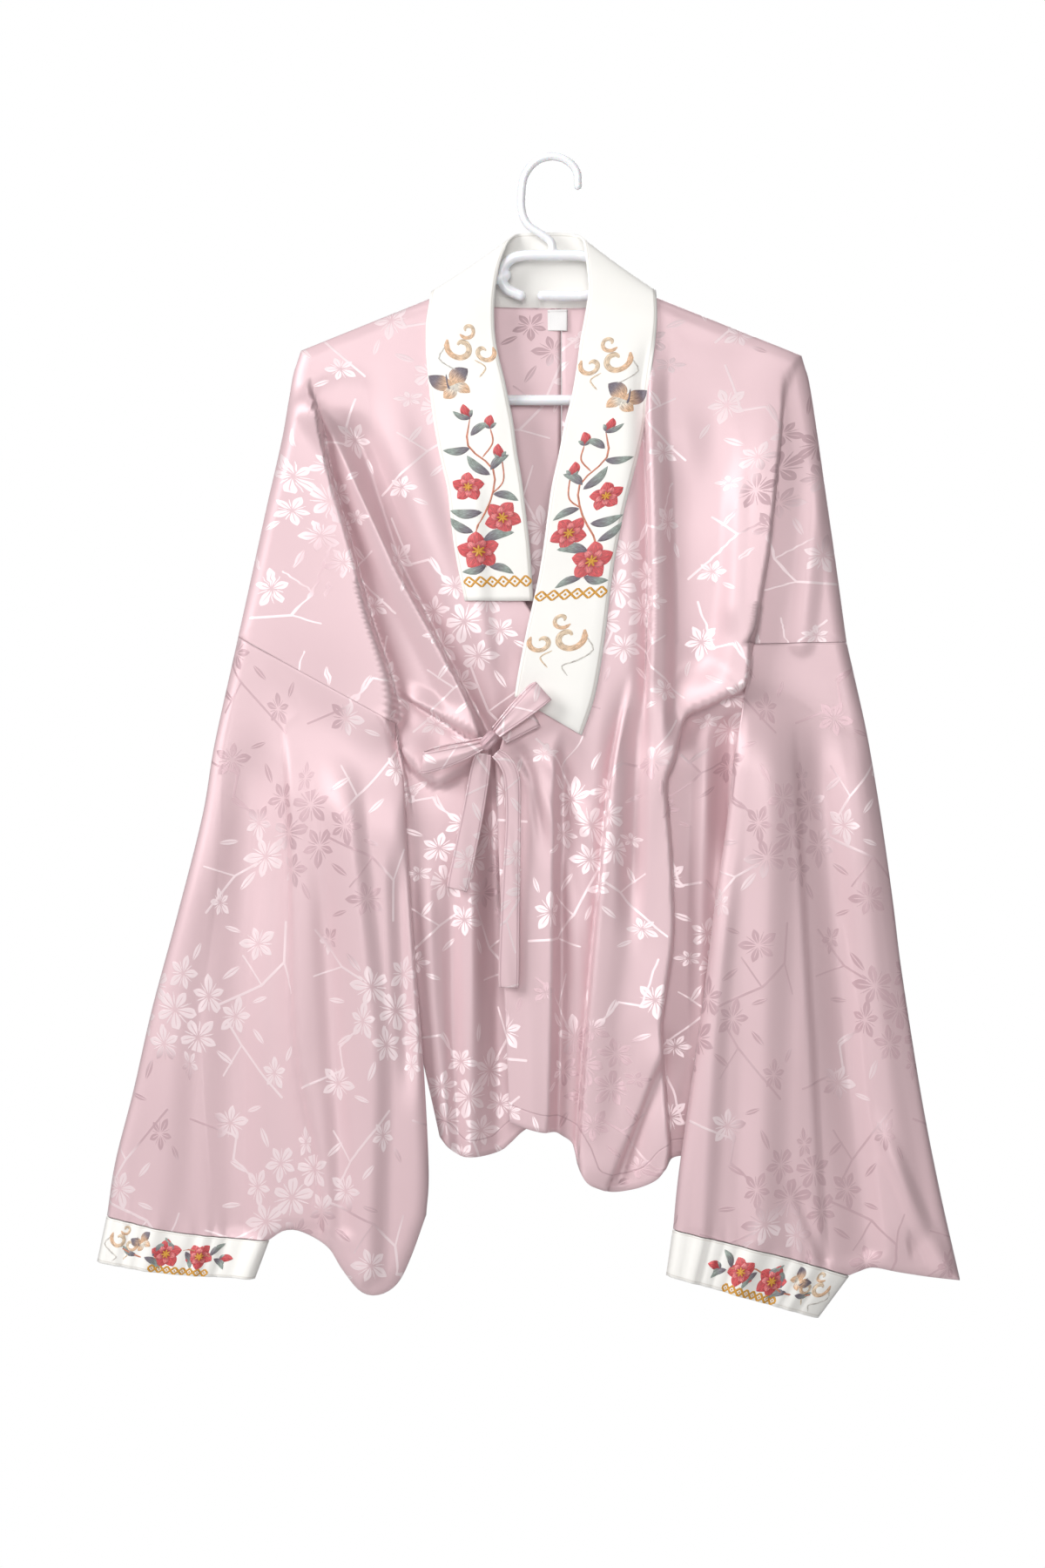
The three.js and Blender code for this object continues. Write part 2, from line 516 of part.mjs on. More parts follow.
function loop({ start, end, y, tilt }) {
  const [dx, dz] = along(start, end), length = Math.hypot(end[0] - start[0], end[1] - start[1]);
  return ribbon(LOOP_SIDE.map(({ out, deep, wide }) => ({
    at: [start[0] + dx * out * length, y + deep, start[1] + dz * out * length], across: [-dz, dx, tilt * out], wide,
  })));
}
function tail(path) {
  return ribbon(path.map((p, i) => {
    const a = path[Math.max(0, i - 1)].at, b = path[Math.min(path.length - 1, i + 1)].at;
    const [dx, dz] = along([a[0], a[2]], [b[0], b[2]]);
    return { ...p, across: [-dz, dx] };
  }));
}

// ---------------------------------------------------------------- hanger

const ROD_SIDES = 10;
const HOOK = [[21.5, -21], [20.5, -9], [12.5, 0], [0, HOOK_ROD], [-13, -0.5], [-22, -11], [-25, -24], [-25, -41], [-20, -53],
  [-8, -61.5], [-0.5, -68], [0, -73]];
const HANGER_LOOP = [[-8, -112], [28, -112], [39, -106], [42, -95.5], [37, -84], [25, -79], [0, -78.5], [-25, -79], [-37, -84],
  [-42, -95.5], [-38, -106], [-26, -112]];
const ARMS = {
  right: [[-47.5, -98.5], [-74, -110.5], [-98, -121], [-150, -142.2], [-190, -158.6], [-200, -166], [-203, -177], [-201.5, -189],
    [-196, -196.5], [-188, -198.7]],
  left: [[47.5, -99.5], [84, -120.8], [140, -143.2], [188, -162.2], [198, -169.5], [201.5, -179], [200, -190], [195, -196.5], [187, -198.7]],
};
const BAR = [[-186.4, -198.7], [-60, -198.7], [60, -198.7], [185.4, -198.7]];

// A round rod along a line in the hanger's plane, with its ends rounded off.
function rod(line, radius, steps) {
  const curve = new THREE.CatmullRomCurve3(line.map(([x, z]) => new THREE.Vector3(x, 0, z)), false, "centripetal");
  const positions = [], index = [], rings = [];
  for (let j = 0; j <= steps; j++) rings.push({ t: j / steps, r: radius });
  rings[0].r = rings[steps].r = radius * 0.72;
  rings.splice(1, 0, { t: 0.25 * radius / curve.getLength(), r: radius });
  rings.splice(rings.length - 1, 0, { t: 1 - 0.25 * radius / curve.getLength(), r: radius });
  for (const { t, r } of rings) {
    const p = curve.getPointAt(t), d = curve.getTangentAt(t);
    for (let i = 0; i < ROD_SIDES; i++) {
      const a = (2 * Math.PI * i) / ROD_SIDES, c = r * Math.cos(a);
      positions.push(p.x - d.z * c, r * Math.sin(a), p.z + d.x * c);
    }
  }
  const n = ROD_SIDES, last = rings.length - 1;
  for (let j = 0; j < last; j++)
    for (let i = 0; i < n; i++) {
      const a = j * n + i, b = j * n + ((i + 1) % n);
      index.push(a, a + n, b, b, a + n, b + n);
    }
  for (let i = 1; i + 1 < n; i++) {
    index.push(0, i, i + 1);
    index.push(last * n, last * n + i + 1, last * n + i);
  }
  return solid(positions, index);
}

// ---------------------------------------------------------------- the jacket

const pink = new THREE.MeshStandardMaterial({ name: "pink satin", color: "#dcc3c8", roughness: 0.45, side: THREE.DoubleSide });
const white = new THREE.MeshStandardMaterial({ name: "white satin", color: "#f6f3ee", roughness: 0.5, side: THREE.DoubleSide });
const plastic = new THREE.MeshStandardMaterial({ name: "white plastic", color: "#f2f4f7", roughness: 0.35 });

const group = new THREE.Group();
group.name = "hanfu_jacket";
function add(name, geometry, material) {
  const mesh = new THREE.Mesh(geometry, material);
  mesh.name = name;
  group.add(mesh);
}

const rightSleeve = sleeve("right"), leftSleeve = sleeve("left");
add("right_front", panel("right", -1, hemmed(rows(RIGHT_FRONT, FRONT_COLUMNS, FRONT_CLOSE), 5, RIGHT_HEM), [12, 18], 19), pink);
add("left_front", panel("left", -1, hemmed(rows(LEFT_FRONT, FRONT_COLUMNS, FRONT_CLOSE), 5, LEFT_HEM), [11, 15], 16), pink);
add("right_back", panel("right", 1, rows(RIGHT_BACK, BACK_COLUMNS, BACK_CLOSE), [8, 13], 14), pink);
add("left_back", panel("left", 1, rows(LEFT_BACK, BACK_COLUMNS, BACK_CLOSE), [8, 12], 13), pink);
add("right_sleeve", rightSleeve.mesh, pink);
add("left_sleeve", leftSleeve.mesh, pink);
add("right_cuff", cuff(rightSleeve), white);
add("left_cuff", cuff(leftSleeve), white);
add("collar", collar(), white);
for (const [name, row] of Object.entries(LOOPS)) add(name, loop(row), pink);
for (const [name, path] of Object.entries(TAILS)) add(name, tail(path), pink);
add("tie_stub", tail(STUB), pink);
const knot = new THREE.SphereGeometry(1, 14, 10).scale(...KNOT.size).translate(...KNOT.at);
add("tie_knot", knot, pink);
const label = new THREE.BoxGeometry(17, 1, 18).rotateY(0.14).translate(4.5, 9, -131);
add("label", label, white);
add("hanger_hook", rod(HOOK, HOOK_ROD, 26), plastic);
add("hanger_loop", rod(HANGER_LOOP, HANGER_ROD, 30), plastic);
add("hanger_arm_right", rod(ARMS.right, HANGER_ROD, 18), plastic);
add("hanger_arm_left", rod(ARMS.left, HANGER_ROD, 18), plastic);
add("hanger_bar", rod(BAR, HANGER_ROD, 4), plastic);

export default group;
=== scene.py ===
import math

import bmesh
import bpy
import numpy as np
from mathutils import Matrix


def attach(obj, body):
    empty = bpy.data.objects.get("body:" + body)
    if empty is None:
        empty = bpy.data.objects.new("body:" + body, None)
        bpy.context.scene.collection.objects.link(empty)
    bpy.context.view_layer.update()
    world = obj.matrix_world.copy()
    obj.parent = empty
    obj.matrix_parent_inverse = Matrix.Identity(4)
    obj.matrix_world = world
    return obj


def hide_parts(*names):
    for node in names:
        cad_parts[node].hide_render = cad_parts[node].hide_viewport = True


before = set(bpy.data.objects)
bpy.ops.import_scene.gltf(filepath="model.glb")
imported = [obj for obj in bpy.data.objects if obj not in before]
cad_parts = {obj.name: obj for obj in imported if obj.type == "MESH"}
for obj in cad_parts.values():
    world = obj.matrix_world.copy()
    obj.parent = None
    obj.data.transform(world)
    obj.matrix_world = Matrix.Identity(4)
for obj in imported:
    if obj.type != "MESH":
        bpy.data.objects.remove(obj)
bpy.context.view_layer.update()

# ------------------------------------------------------------------ room, light and camera
# A white studio with a pale floor far below the hem. The light is broad and soft: most of it
# comes from the left and from the front, with weaker lamps on the right, above and behind.

FLOOR_DEPTH = 2.2
LIGHTS = [
    dict(name="key_light", at=(-2.4, -1.7, 0.9), size=1.6, power=80),
    dict(name="front_light", at=(-0.1, -3.4, 0.2), size=1.4, power=46),
    dict(name="fill_light", at=(2.2, -2.0, -0.6), size=1.6, power=5),
    dict(name="top_light", at=(0.1, -0.5, 1.9), size=1.4, power=13),
    dict(name="back_light", at=(0.6, 2.6, 0.8), size=2.0, power=44),
]
MIDDLE = (-0.0245, -0.008, -0.517)
CAMERA_AWAY, LENS, SENSOR_HIGH = 2.6, 72.2, 36  # metres, then mm


def turned_to(at, target):
    """The turn of a lamp or camera at one place that looks at another."""
    x, y, z = (target[k] - at[k] for k in range(3))
    return math.atan2(math.hypot(x, y), -z), 0, math.atan2(-x, y)


def add_object(name, data):
    made = bpy.data.objects.new(name, data)
    bpy.context.scene.collection.objects.link(made)
    return made


def mesh_of(bm, name):
    made = bpy.data.meshes.new(name)
    bm.to_mesh(made)
    bm.free()
    return made


for row in LIGHTS:
    lamp = bpy.data.lights.new(row["name"], "AREA")
    lamp.shape, lamp.size, lamp.energy = "SQUARE", row["size"], row["power"]
    placed = add_object(row["name"], lamp)
    placed.location, placed.rotation_euler = row["at"], turned_to(row["at"], MIDDLE)

lens = bpy.data.cameras.new("camera")
lens.sensor_fit, lens.sensor_height, lens.lens = "VERTICAL", SENSOR_HIGH, LENS
camera = add_object("camera", lens)
camera.location = (MIDDLE[0], MIDDLE[1] - CAMERA_AWAY, MIDDLE[2])
camera.rotation_euler = (math.pi / 2, 0, 0)
bpy.context.scene.camera = camera

world = bpy.context.scene.world or bpy.data.worlds.new("white_room")
bpy.context.scene.world = world
world.use_nodes = True
nodes, links = world.node_tree.nodes, world.node_tree.links
nodes.clear()
path, either, out = (nodes.new("ShaderNode" + kind) for kind in ("LightPath", "MixShader", "OutputWorld"))
links.new(path.outputs["Is Camera Ray"], either.inputs[0])
for slot, tint, strength in ((1, (1.0, 0.985, 0.98, 1), 0.13), (2, (1, 1, 1, 1), 1.0)):  # what lights, what is seen
    room = nodes.new("ShaderNodeBackground")
    room.inputs["Color"].default_value, room.inputs["Strength"].default_value = tint, strength
    links.new(room.outputs[0], either.inputs[slot])
links.new(either.outputs[0], out.inputs["Surface"])
bpy.context.scene.view_settings.view_transform = "Standard"

bm = bmesh.new()
bmesh.ops.create_grid(bm, x_segments=1, y_segments=1, size=4)
bmesh.ops.translate(bm, verts=bm.verts, vec=(0, 0, -FLOOR_DEPTH))
floor_mesh = mesh_of(bm, "floor")
floor = add_object("floor", floor_mesh)
floor_paint = bpy.data.materials.new("pale floor")
floor_paint.use_nodes = True
floor_look = floor_paint.node_tree.nodes["Principled BSDF"].inputs
floor_look["Base Color"].default_value, floor_look["Roughness"].default_value = (0.86, 0.86, 0.86, 1), 0.8
floor_mesh.materials.append(floor_paint)

# ------------------------------------------------------------------ pink satin
# A light dusty-pink damask satin. Sprays of five-petalled blossom with leaves and thin crooked
# twigs are woven into it, and show because their threads lie the other way and catch the light.
# That sheen is painted into the colour here: the motif is painted lighter than the ground as
# painted sheen, and darker as painted shade where a slow drift over the cloth is high.

SPRAY = dict(
    wide=150, high=196,  # the repeat, in mm; every second column is turned over and dropped by half
    blossoms=[  # x, y, length of a petal, turn, how far it is seen from the side
        (-22, 30, 19.9, 0.2, 1.0), (6, 38, 17.1, 1.1, 1.25),
        (-2, 9, 21.1, 0.7, 1.0), (26, 18, 17.7, 0.1, 1.2),
        (-32, 2, 17.1, 0.9, 1.3), (21, -10, 19.9, 0.5, 1.0),
        (-13, -19, 18.8, 0.0, 1.15), (43, -3, 13.7, 0.6, 1.7),
        (4, -41, 17.1, 1.0, 1.1), (-56, -62, 17.1, 0.3, 1.0),
        (58, 62, 17.7, 0.8, 1.1), (-60, 68, 13.7, 0.4, 1.5),
        (50, -76, 14.8, 1.2, 1.3),
    ],
    leaves=[  # x, y, half of the length, direction in degrees
        (-42, 45, 11, 140), (22, 55, 10, 60), (47, 31, 10, 20),
        (-50, -10, 9, 205), (38, -32, 10, -50), (-32, -38, 10, 235),
        (20, -62, 9, -40), (-10, -63, 8, -110), (-68, -40, 8, 110),
        (70, 40, 8, -70), (-10, 62, 9, 95), (34, -88, 8, 200),
    ],
    twigs=[  # half of the width, and the crooked line that it follows
        (0.8, [(-74, -86), (-41, -84), (-22, -65), (-6, -28)]), (0.5, [(-41, -84), (-16, -91)]),
        (0.5, [(-22, -65), (-46, -48)]), (0.7, [(8, -34), (28, -46), (70, -82)]),
        (0.5, [(28, -46), (53, -31)]), (0.7, [(14, 44), (28, 60), (47, 57), (62, 95)]),
        (0.7, [(-28, 38), (-38, 56), (-68, 80)]), (0.45, [(-38, 56), (-30, 82)]),
    ],
)


class Wiring:
    """Puts nodes into one tree and joins them."""

    def __init__(self, tree):
        self.tree = tree

    def node(self, kind, *values, out=0, **settings):
        made = self.tree.nodes.new(kind)
        for key, value in settings.items():
            setattr(made, key, value)
        for slot, value in enumerate(values):
            self.put(made.inputs[slot], value)
        return made.outputs[out]

    def put(self, slot, value):
        if value is None:
            return
        if isinstance(value, bpy.types.NodeSocket):
            self.tree.links.new(value, slot)
        else:
            slot.default_value = value

    def math(self, operation, *values, clamp=False):
        return self.node("ShaderNodeMath", *values, operation=operation, use_clamp=clamp)

    def vector(self, operation, *values, out=0):
        return self.node("ShaderNodeVectorMath", *values, operation=operation, out=out)

    def parts(self, value):
        """The x, y and z of a vector."""
        made = self.tree.nodes.new("ShaderNodeSeparateXYZ")
        self.put(made.inputs[0], value)
        return made.outputs

    def step(self, value, low, high):
        """0 below low, 1 above high and a soft rise between them."""
        return self.node("ShaderNodeMapRange", value, low, high, interpolation_type="SMOOTHSTEP")

    def colour(self, share, first, second, blend="MIX"):
        made = self.tree.nodes.new("ShaderNodeMix")
        made.data_type, made.blend_type = "RGBA", blend
        for slot, value in ((0, share), (6, first), (7, second)):
            self.put(made.inputs[slot], value)
        return made.outputs[2]

    def effect(self, group, *values):
        """Places a shared effect with its own values."""
        made = self.tree.nodes.new("ShaderNodeGroup")
        made.node_tree = group
        for slot, value in zip(made.inputs, values):
            self.put(slot, value)
        return made.outputs[0]

    def pick(self, share, first, second):
        made = self.tree.nodes.new("ShaderNodeMix")
        made.data_type = "VECTOR"
        for slot, value in ((0, share), (4, first), (5, second)):
            self.put(made.inputs[slot], value)
        return made.outputs[1]


def new_group(name, inputs, outputs):
    group = bpy.data.node_groups.new(name, "ShaderNodeTree")
    for label, kind in inputs:
        group.interface.new_socket(name=label, in_out="INPUT", socket_type=kind)
    for label, kind in outputs:
        group.interface.new_socket(name=label, in_out="OUTPUT", socket_type=kind)
    return group, group.nodes.new("NodeGroupInput"), group.nodes.new("NodeGroupOutput")


def woven_spray():
    """Where the blossoms, leaves and twigs of the damask lie, on the cloth's own map in metres."""
    group, given, made = new_group("woven spray", [("Map", "NodeSocketVector")], [("Motif", "NodeSocketFloat")])
    w = Wiring(group)
    place = w.parts(w.vector("MULTIPLY", given.outputs[0], (1000, 1000, 0)))
    column = w.math("DIVIDE", place[0], SPRAY["wide"])
    odd = w.math("PINGPONG", w.math("FLOOR", column), 1)
    x = w.math("MULTIPLY", w.math("SUBTRACT", w.math("FRACT", column), 0.5),
               w.math("MULTIPLY_ADD", odd, -2 * SPRAY["wide"], SPRAY["wide"]))
    row_at = w.math("MULTIPLY_ADD", odd, 0.5, w.math("DIVIDE", place[1], SPRAY["high"]))
    y = w.math("MULTIPLY_ADD", w.math("FRACT", row_at), SPRAY["high"], -SPRAY["high"] / 2)
    here = w.node("ShaderNodeCombineXYZ", x, y)

    def nearest(rows, facts):
        """The way from the middle of the nearest row, and that row's facts."""
        best = chosen = told = None
        for row in rows:
            centre = (row[0], row[1], 0)
            apart = w.vector("DISTANCE", here, centre, out=1)
            if best is None:
                best, chosen, told = apart, centre, facts(row)
            else:
                closer = w.math("LESS_THAN", apart, best)
                chosen = w.pick(closer, chosen, centre)
                told = w.pick(closer, told, facts(row))
                best = w.math("MINIMUM", best, apart)
        return w.vector("SUBTRACT", here, chosen), told

    off, facts = nearest(SPRAY["blossoms"], lambda blossom: blossom[2:])
    across, up, _ = w.parts(off)
    length, phase, flatter = w.parts(facts)
    up = w.math("MULTIPLY", up, flatter)
    from_middle = w.math("SQRT", w.math("ADD", w.math("MULTIPLY", across, across), w.math("MULTIPLY", up, up)))
    out_by = w.math("DIVIDE", from_middle, length)
    turn = w.math("ADD", w.math("ARCTAN2", up, across), phase)
    fifths = w.math("MULTIPLY", turn, 5 / math.tau)
    petal = w.math("MULTIPLY", w.math("SUBTRACT", w.math("FRACT", fifths), 0.5), math.tau / 5)
    which = w.math("MULTIPLY_ADD", w.math("FLOOR", fifths), 2.3, w.math("MULTIPLY", phase, 9))
    uneven = w.math("MULTIPLY_ADD", w.math("SINE", which), 0.13, 1.1)
    out_by = w.math("MULTIPLY", out_by, uneven)
    length = w.math("MULTIPLY", out_by, w.math("COSINE", petal))
    beside = w.math("ABSOLUTE", w.math("MULTIPLY", out_by, w.math("SINE", petal)))
    swell = w.math("MULTIPLY", w.math("POWER", w.math("MAXIMUM", w.math("MINIMUM", length, 1.0), 0.0), 1.35), math.pi)
    bulge = w.math("POWER", w.math("MAXIMUM", w.math("SINE", swell), 0.0), 0.9)
    petals = w.step(w.math("MULTIPLY_ADD", bulge, 0.225, w.math("MULTIPLY", beside, -1)), 0.0, 0.03)
    vein = w.math("MULTIPLY", w.step(beside, 0.03, 0.012), w.step(length, 0.8, 0.6))
    petals = w.math("SUBTRACT", petals, vein, clamp=True)
    tenths = w.math("FRACT", w.math("MULTIPLY_ADD", turn, 10 / math.tau, 0.5))
    between = w.math("MULTIPLY", w.math("SUBTRACT", tenths, 0.5), math.tau / 10)
    spike = w.math("ABSOLUTE", w.math("MULTIPLY", out_by, w.math("SINE", between)))
    reach = w.math("MULTIPLY", w.step(out_by, 0.2, 0.3), w.step(out_by, 0.72, 0.66))
    spikes = w.math("MULTIPLY", w.step(spike, 0.035, 0.015), reach)
    petals = w.math("MAXIMUM", petals, w.math("MULTIPLY", spikes, w.step(beside, 0.12, 0.16)))

    def told_of_leaf(row):
        way = math.radians(row[3])
        return math.cos(way), math.sin(way), row[2]

    off, facts = nearest(SPRAY["leaves"], told_of_leaf)
    across, up, _ = w.parts(off)
    way_x, way_y, half_length = w.parts(facts)
    along = w.math("DIVIDE", w.math("MULTIPLY_ADD", across, way_x, w.math("MULTIPLY", up, way_y)), half_length)
    aside = w.math("SUBTRACT", w.math("MULTIPLY", up, way_x), w.math("MULTIPLY", across, way_y))
    aside = w.math("ABSOLUTE", w.math("DIVIDE", aside, half_length))
    blade = w.math("MULTIPLY_ADD", w.math("SUBTRACT", 1.0, w.math("MULTIPLY", along, along)), 0.27,
                   w.math("MULTIPLY", aside, -1))
    leaf = w.math("MULTIPLY", w.step(blade, 0.0, 0.05), w.step(aside, 0.02, 0.05))

    lines = None
    for half, twig in SPRAY["twigs"]:
        for (ax, ay), (bx, by) in zip(twig[:-1], twig[1:]):
            span = (bx - ax, by - ay, 0)
            start = w.vector("SUBTRACT", here, (ax, ay, 0))
            square = span[0] ** 2 + span[1] ** 2
            share = w.math("MULTIPLY", w.vector("DOT_PRODUCT", start, span, out=1), 1 / square, clamp=True)
            nearest_on = w.vector("MULTIPLY", span, share)
            gap = w.math("SUBTRACT", w.vector("DISTANCE", start, nearest_on, out=1), half)
            lines = gap if lines is None else w.math("MINIMUM", lines, gap)
    lines = w.step(lines, 0.45, 0.0)
    motif = w.math("MAXIMUM", w.math("MAXIMUM", petals, leaf), w.math("MULTIPLY", lines, 0.9))
    w.put(made.inputs[0], motif)
    return group


def new_material(name):
    made = bpy.data.materials.new(name)
    made.use_nodes = True
    return made, Wiring(made.node_tree), made.node_tree.nodes["Principled BSDF"]


def finish(shader, *constants):
    """Sets sockets that stay the same all over a surface."""
    for label, value in constants:
        shader.inputs[label].default_value = value


def relief_of(w, shader, strength, distance, height):
    """Raises a surface by a bump map, with its distance in metres."""
    bump = w.tree.nodes.new("ShaderNodeBump")
    bump.inputs["Strength"].default_value, bump.inputs["Distance"].default_value = strength, distance
    w.put(bump.inputs["Height"], height)
    w.put(shader.inputs["Normal"], bump.outputs[0])
    return bump


# the motif's light colour is a painted sheen and its dark colour a painted shade; ground and warm are the satin's own
# tone, seam is its stitching
PINK = dict(ground=(0.705, 0.505, 0.535, 1), warm=(0.75, 0.565, 0.590, 1), light=(0.900, 0.770, 0.790, 1),
            dark=(0.520, 0.340, 0.375, 1), seam=(0.40, 0.23, 0.27, 1))

spray_group = woven_spray()


def stitching():
    """Where a line of machine stitches shows. The attribute holds how far the cloth lies from the line, in mm."""
    number = "NodeSocketFloat"
    group, given, made = new_group("stitching", [("Outside", number), ("Inside", number)], [("Thread", number)])
    w = Wiring(group)
    off = w.math("ABSOLUTE", w.node("ShaderNodeAttribute", attribute_name="stitch_line", out=2))
    w.put(made.inputs[0], w.step(off, given.outputs[0], given.outputs[1]))
    return group


stitch_group = stitching()


def damask(name, painted_shade_above):
    """The satin. Its motif is painted lighter than the ground as painted sheen, and where a slow drift over the cloth
    is above the given level it is painted darker than the ground as painted shade.
    """
    satin, w, shader = new_material(name)
    cloth_map = w.node("ShaderNodeUVMap", uv_map="cut")
    motif = w.effect(spray_group, cloth_map)
    drift = w.node("ShaderNodeTexNoise", cloth_map, None, 5.5, 1.0)
    # painted sheen and painted shade: the motif is coloured light, and dark where the slow drift is high
    motif_sheen_and_shade = w.colour(w.step(drift, painted_shade_above, painted_shade_above + 0.06), PINK["light"], PINK["dark"])
    faded = w.math("MULTIPLY", w.node("ShaderNodeTexNoise", cloth_map, None, 18.0, 2.0), 0.3)
    tone = w.colour(faded, PINK["ground"], PINK["warm"])
    base = w.colour(w.math("MULTIPLY", motif, 0.72), tone, motif_sheen_and_shade)
    groove = w.effect(stitch_group, 0.8, 0.25)
    w.put(shader.inputs["Base Color"], w.colour(w.math("MULTIPLY", groove, 0.5), base, PINK["seam"]))
    w.put(shader.inputs["Roughness"], w.math("MULTIPLY_ADD", motif, -0.09, 0.5))
    slub = w.node("ShaderNodeTexNoise", w.vector("MULTIPLY", cloth_map, (2600, 420, 1)), None, 1.0, 1.0)
    relief = w.math("MULTIPLY_ADD", slub, 0.25, w.math("MULTIPLY", groove, -1.5))
    bump = relief_of(w, shader, 0.35, 0.0003, w.math("MULTIPLY_ADD", motif, 0.5, relief))
    lie = w.tree.nodes.new("ShaderNodeNormalMap")  # the motif's threads lie a little the other way
    lie.uv_map = "cut"
    w.put(lie.inputs["Color"], w.colour(motif, (0.5, 0.5, 1, 1), (0.5, 0.57, 0.99, 1)))
    w.put(bump.inputs["Normal"], lie.outputs[0])
    finish(shader, ("Metallic", 0.22), ("Sheen Weight", 0.15), ("Sheen Roughness", 0.4),
           ("Specular IOR Level", 0.6), ("Anisotropic", 0.4))
    return satin


pink_satin = damask("pink damask satin", 0.55)
# the same satin with more of its motif painted dark as painted shade, for the wearer's left sleeve
pink_satin_more_shade = damask("pink damask satin more painted shade", 0.43)

# ------------------------------------------------------------------ the wearer's right half
# Front and back of the right half, one length of satin over the shoulder with its hem turned
# up and its side sewn. The sleeve is sewn to it along the slanting seam. Sizes are in mm.

CLOTH = 0.8  # thickness of the satin
ROUND = 12  # how far in from a folded edge the cloth bends round
FOLD_SIDE = 6  # how wide the side of an overlapping fold is
ARMHOLE_ENDS = 9  # the station at which the armhole ends and the side seam starts
HEM_DEEP = 14  # how far the stitching lies above the hem
ON_HANGER = 8  # how far in front of the hanger's middle the cloth lies on it
BELOW_BAR = (205, 232)  # how far down the hanger's bar ends and the cloth is free of it

RIDGE = dict(right=[(-98.6, -113.8), (-200, -153.5), (-208, -158)], left=[(84, -113), (198, -157.5), (206.6, -162)])
OUTER = dict(
    right=[(-208, -158), (-215, -181), (-224, -235), (-236, -285), (-248, -341), (-260, -395), (-279, -483), (-289, -543),
           (-310, -626), (-331, -704), (-346, -770), (-361, -829), (-368, -874)],
    left=[(206.6, -162), (213, -184), (220, -228), (228, -285), (236, -341), (244, -399.5), (258, -463), (265, -502),
          (274, -560), (282, -618), (289, -674), (305, -775), (320, -852), (337, -927)])
SIDE = dict(
    right=[(-129.5, -467), (-130, -500), (-131, -532), (-131, -591), (-120, -678), (-107, -750), (-93, -808)],
    left=[(166.5, -401.5), (163, -436), (158, -462), (155, -505), (149, -650), (147, -822)])
ARM_SEAM = dict(right=[(-260, -395), (-129, -466.5)], left=[(244, -399.5), (167, -401)])
SIDE_MEETS = dict(right=4, left=11)  # how far in front of the hanger the side seams lie

HALVES = dict(
    right=dict(
        stations=[  # ends on the outer edge, the front edge and the middle of the back, rows to the next, corner
            ((-208, -158), (-98.6, -113.8), (-98.6, -113.8), 2, True),
            ((-209, -161), (-98.2, -115.3), (-98.2, -115.3), 3),
            ((-211.5, -169), (-97.7, -120), (-94, -118), 4),
            ((-215, -181), (-97.3, -127), (-65, -119.5), 5),
            ((-222, -223), (-97, -152), (-30, -120.5), 9),
            ((-231.2, -265), (-94, -195), (7.8, -121), 9, True),
            ((-243, -317.7), (-86, -238), (7.8, -155), 12),
            ((-252, -359), (-74, -282), (7.8, -190), 10),
            ((-260, -395), (-66, -303), (7.8, -220), 26, True),
            ((-129.5, -467), (-17, -375), (7.8, -340), 5, True),
            ((-129.8, -483), (-15, -390), (7.8, -380), 8),
            ((-130.5, -515), (-10, -440), (7.8, -430), 18),
            ((-131, -591), (0, -545), (7.8, -545), 22),
            ((-120, -678), (8, -660), (7.8, -630), 32),
            ((-93, -808), (17, -793), (7.8, -788), 0, True)],
        hem=[(17, -786), (-12, -798), (-24.5, -805), (-34, -814), (-42, -820.5), (-52, -823.5), (-64, -825), (-75, -824),
             (-84, -818.5), (-93, -808)]),
    left=dict(
        stations=[
            ((206.6, -162), (84, -113), (84, -113), 2, True),
            ((207.5, -165), (83.5, -114.5), (83.5, -114.5), 3),
            ((209.5, -172), (83, -119), (80, -118), 4),
            ((213, -184), (82, -126), (55, -119.5), 5),
            ((219, -222), (78, -148), (30, -120.5), 9),
            ((226.6, -275), (73, -181), (8.2, -121), 12, True),
            ((234.5, -330), (66, -235), (8.2, -155), 11),
            ((241, -377.5), (55, -285), (8.2, -190), 6),
            ((244, -399.5), (47, -318), (8.2, -220), 22, True),
            ((167, -401), (12, -400), (8.2, -330), 9, True),
            ((163, -436), (-12, -426), (8.2, -370), 7),
            ((158, -462), (-31, -450), (8.2, -400), 12),
            ((155, -505), (-47, -500), (8.2, -455), 32),
            ((149, -650), (-41, -650), (8.2, -610), 38),
            ((147, -822), (-35, -795), (8.2, -788), 0, True)],
        hem=[(-35, -795), (-24, -799), (-9, -803), (0, -803.5), (8, -807), (17, -814), (21, -830), (28, -843.5),
             (38, -849), (49, -852), (62, -851), (74, -847.5), (86, -841), (94, -831), (101, -825), (115, -823.5),
             (147, -822)]))


def mix(a, b, t):
    return a + (b - a) * t


def smooth(low, high, value):
    t = np.clip((np.asarray(value, float) - low) / (high - low), 0, 1)
    return t * t * (3 - 2 * t)


def rounded(distance, reach):
    return np.sqrt(np.clip(1 - (1 - np.clip(distance / reach, 0, 1)) ** 2, 0, 1))


def eased(points, each=6, corners=()):
    """Points joined by a soft curve with so many steps from each to the next, sharp at the corners."""
    p, line = np.array(points, float), []
    for k in range(len(p) - 1):
        b, c = p[k], p[k + 1]
        a = p[k - 1] if k > 0 and k not in corners else 2 * b - c
        d = p[k + 2] if k + 2 < len(p) and k + 1 not in corners else 2 * c - b
        steps = each[k] if isinstance(each, list) else each
        t = (np.arange(steps) / steps)[:, None]
        line.append(0.5 * (2 * b + (c - a) * t + (2 * a - 5 * b + 4 * c - d) * t ** 2 + (3 * b - a - 3 * c + d) * t ** 3))
    return np.vstack(line + [p[-1:]])


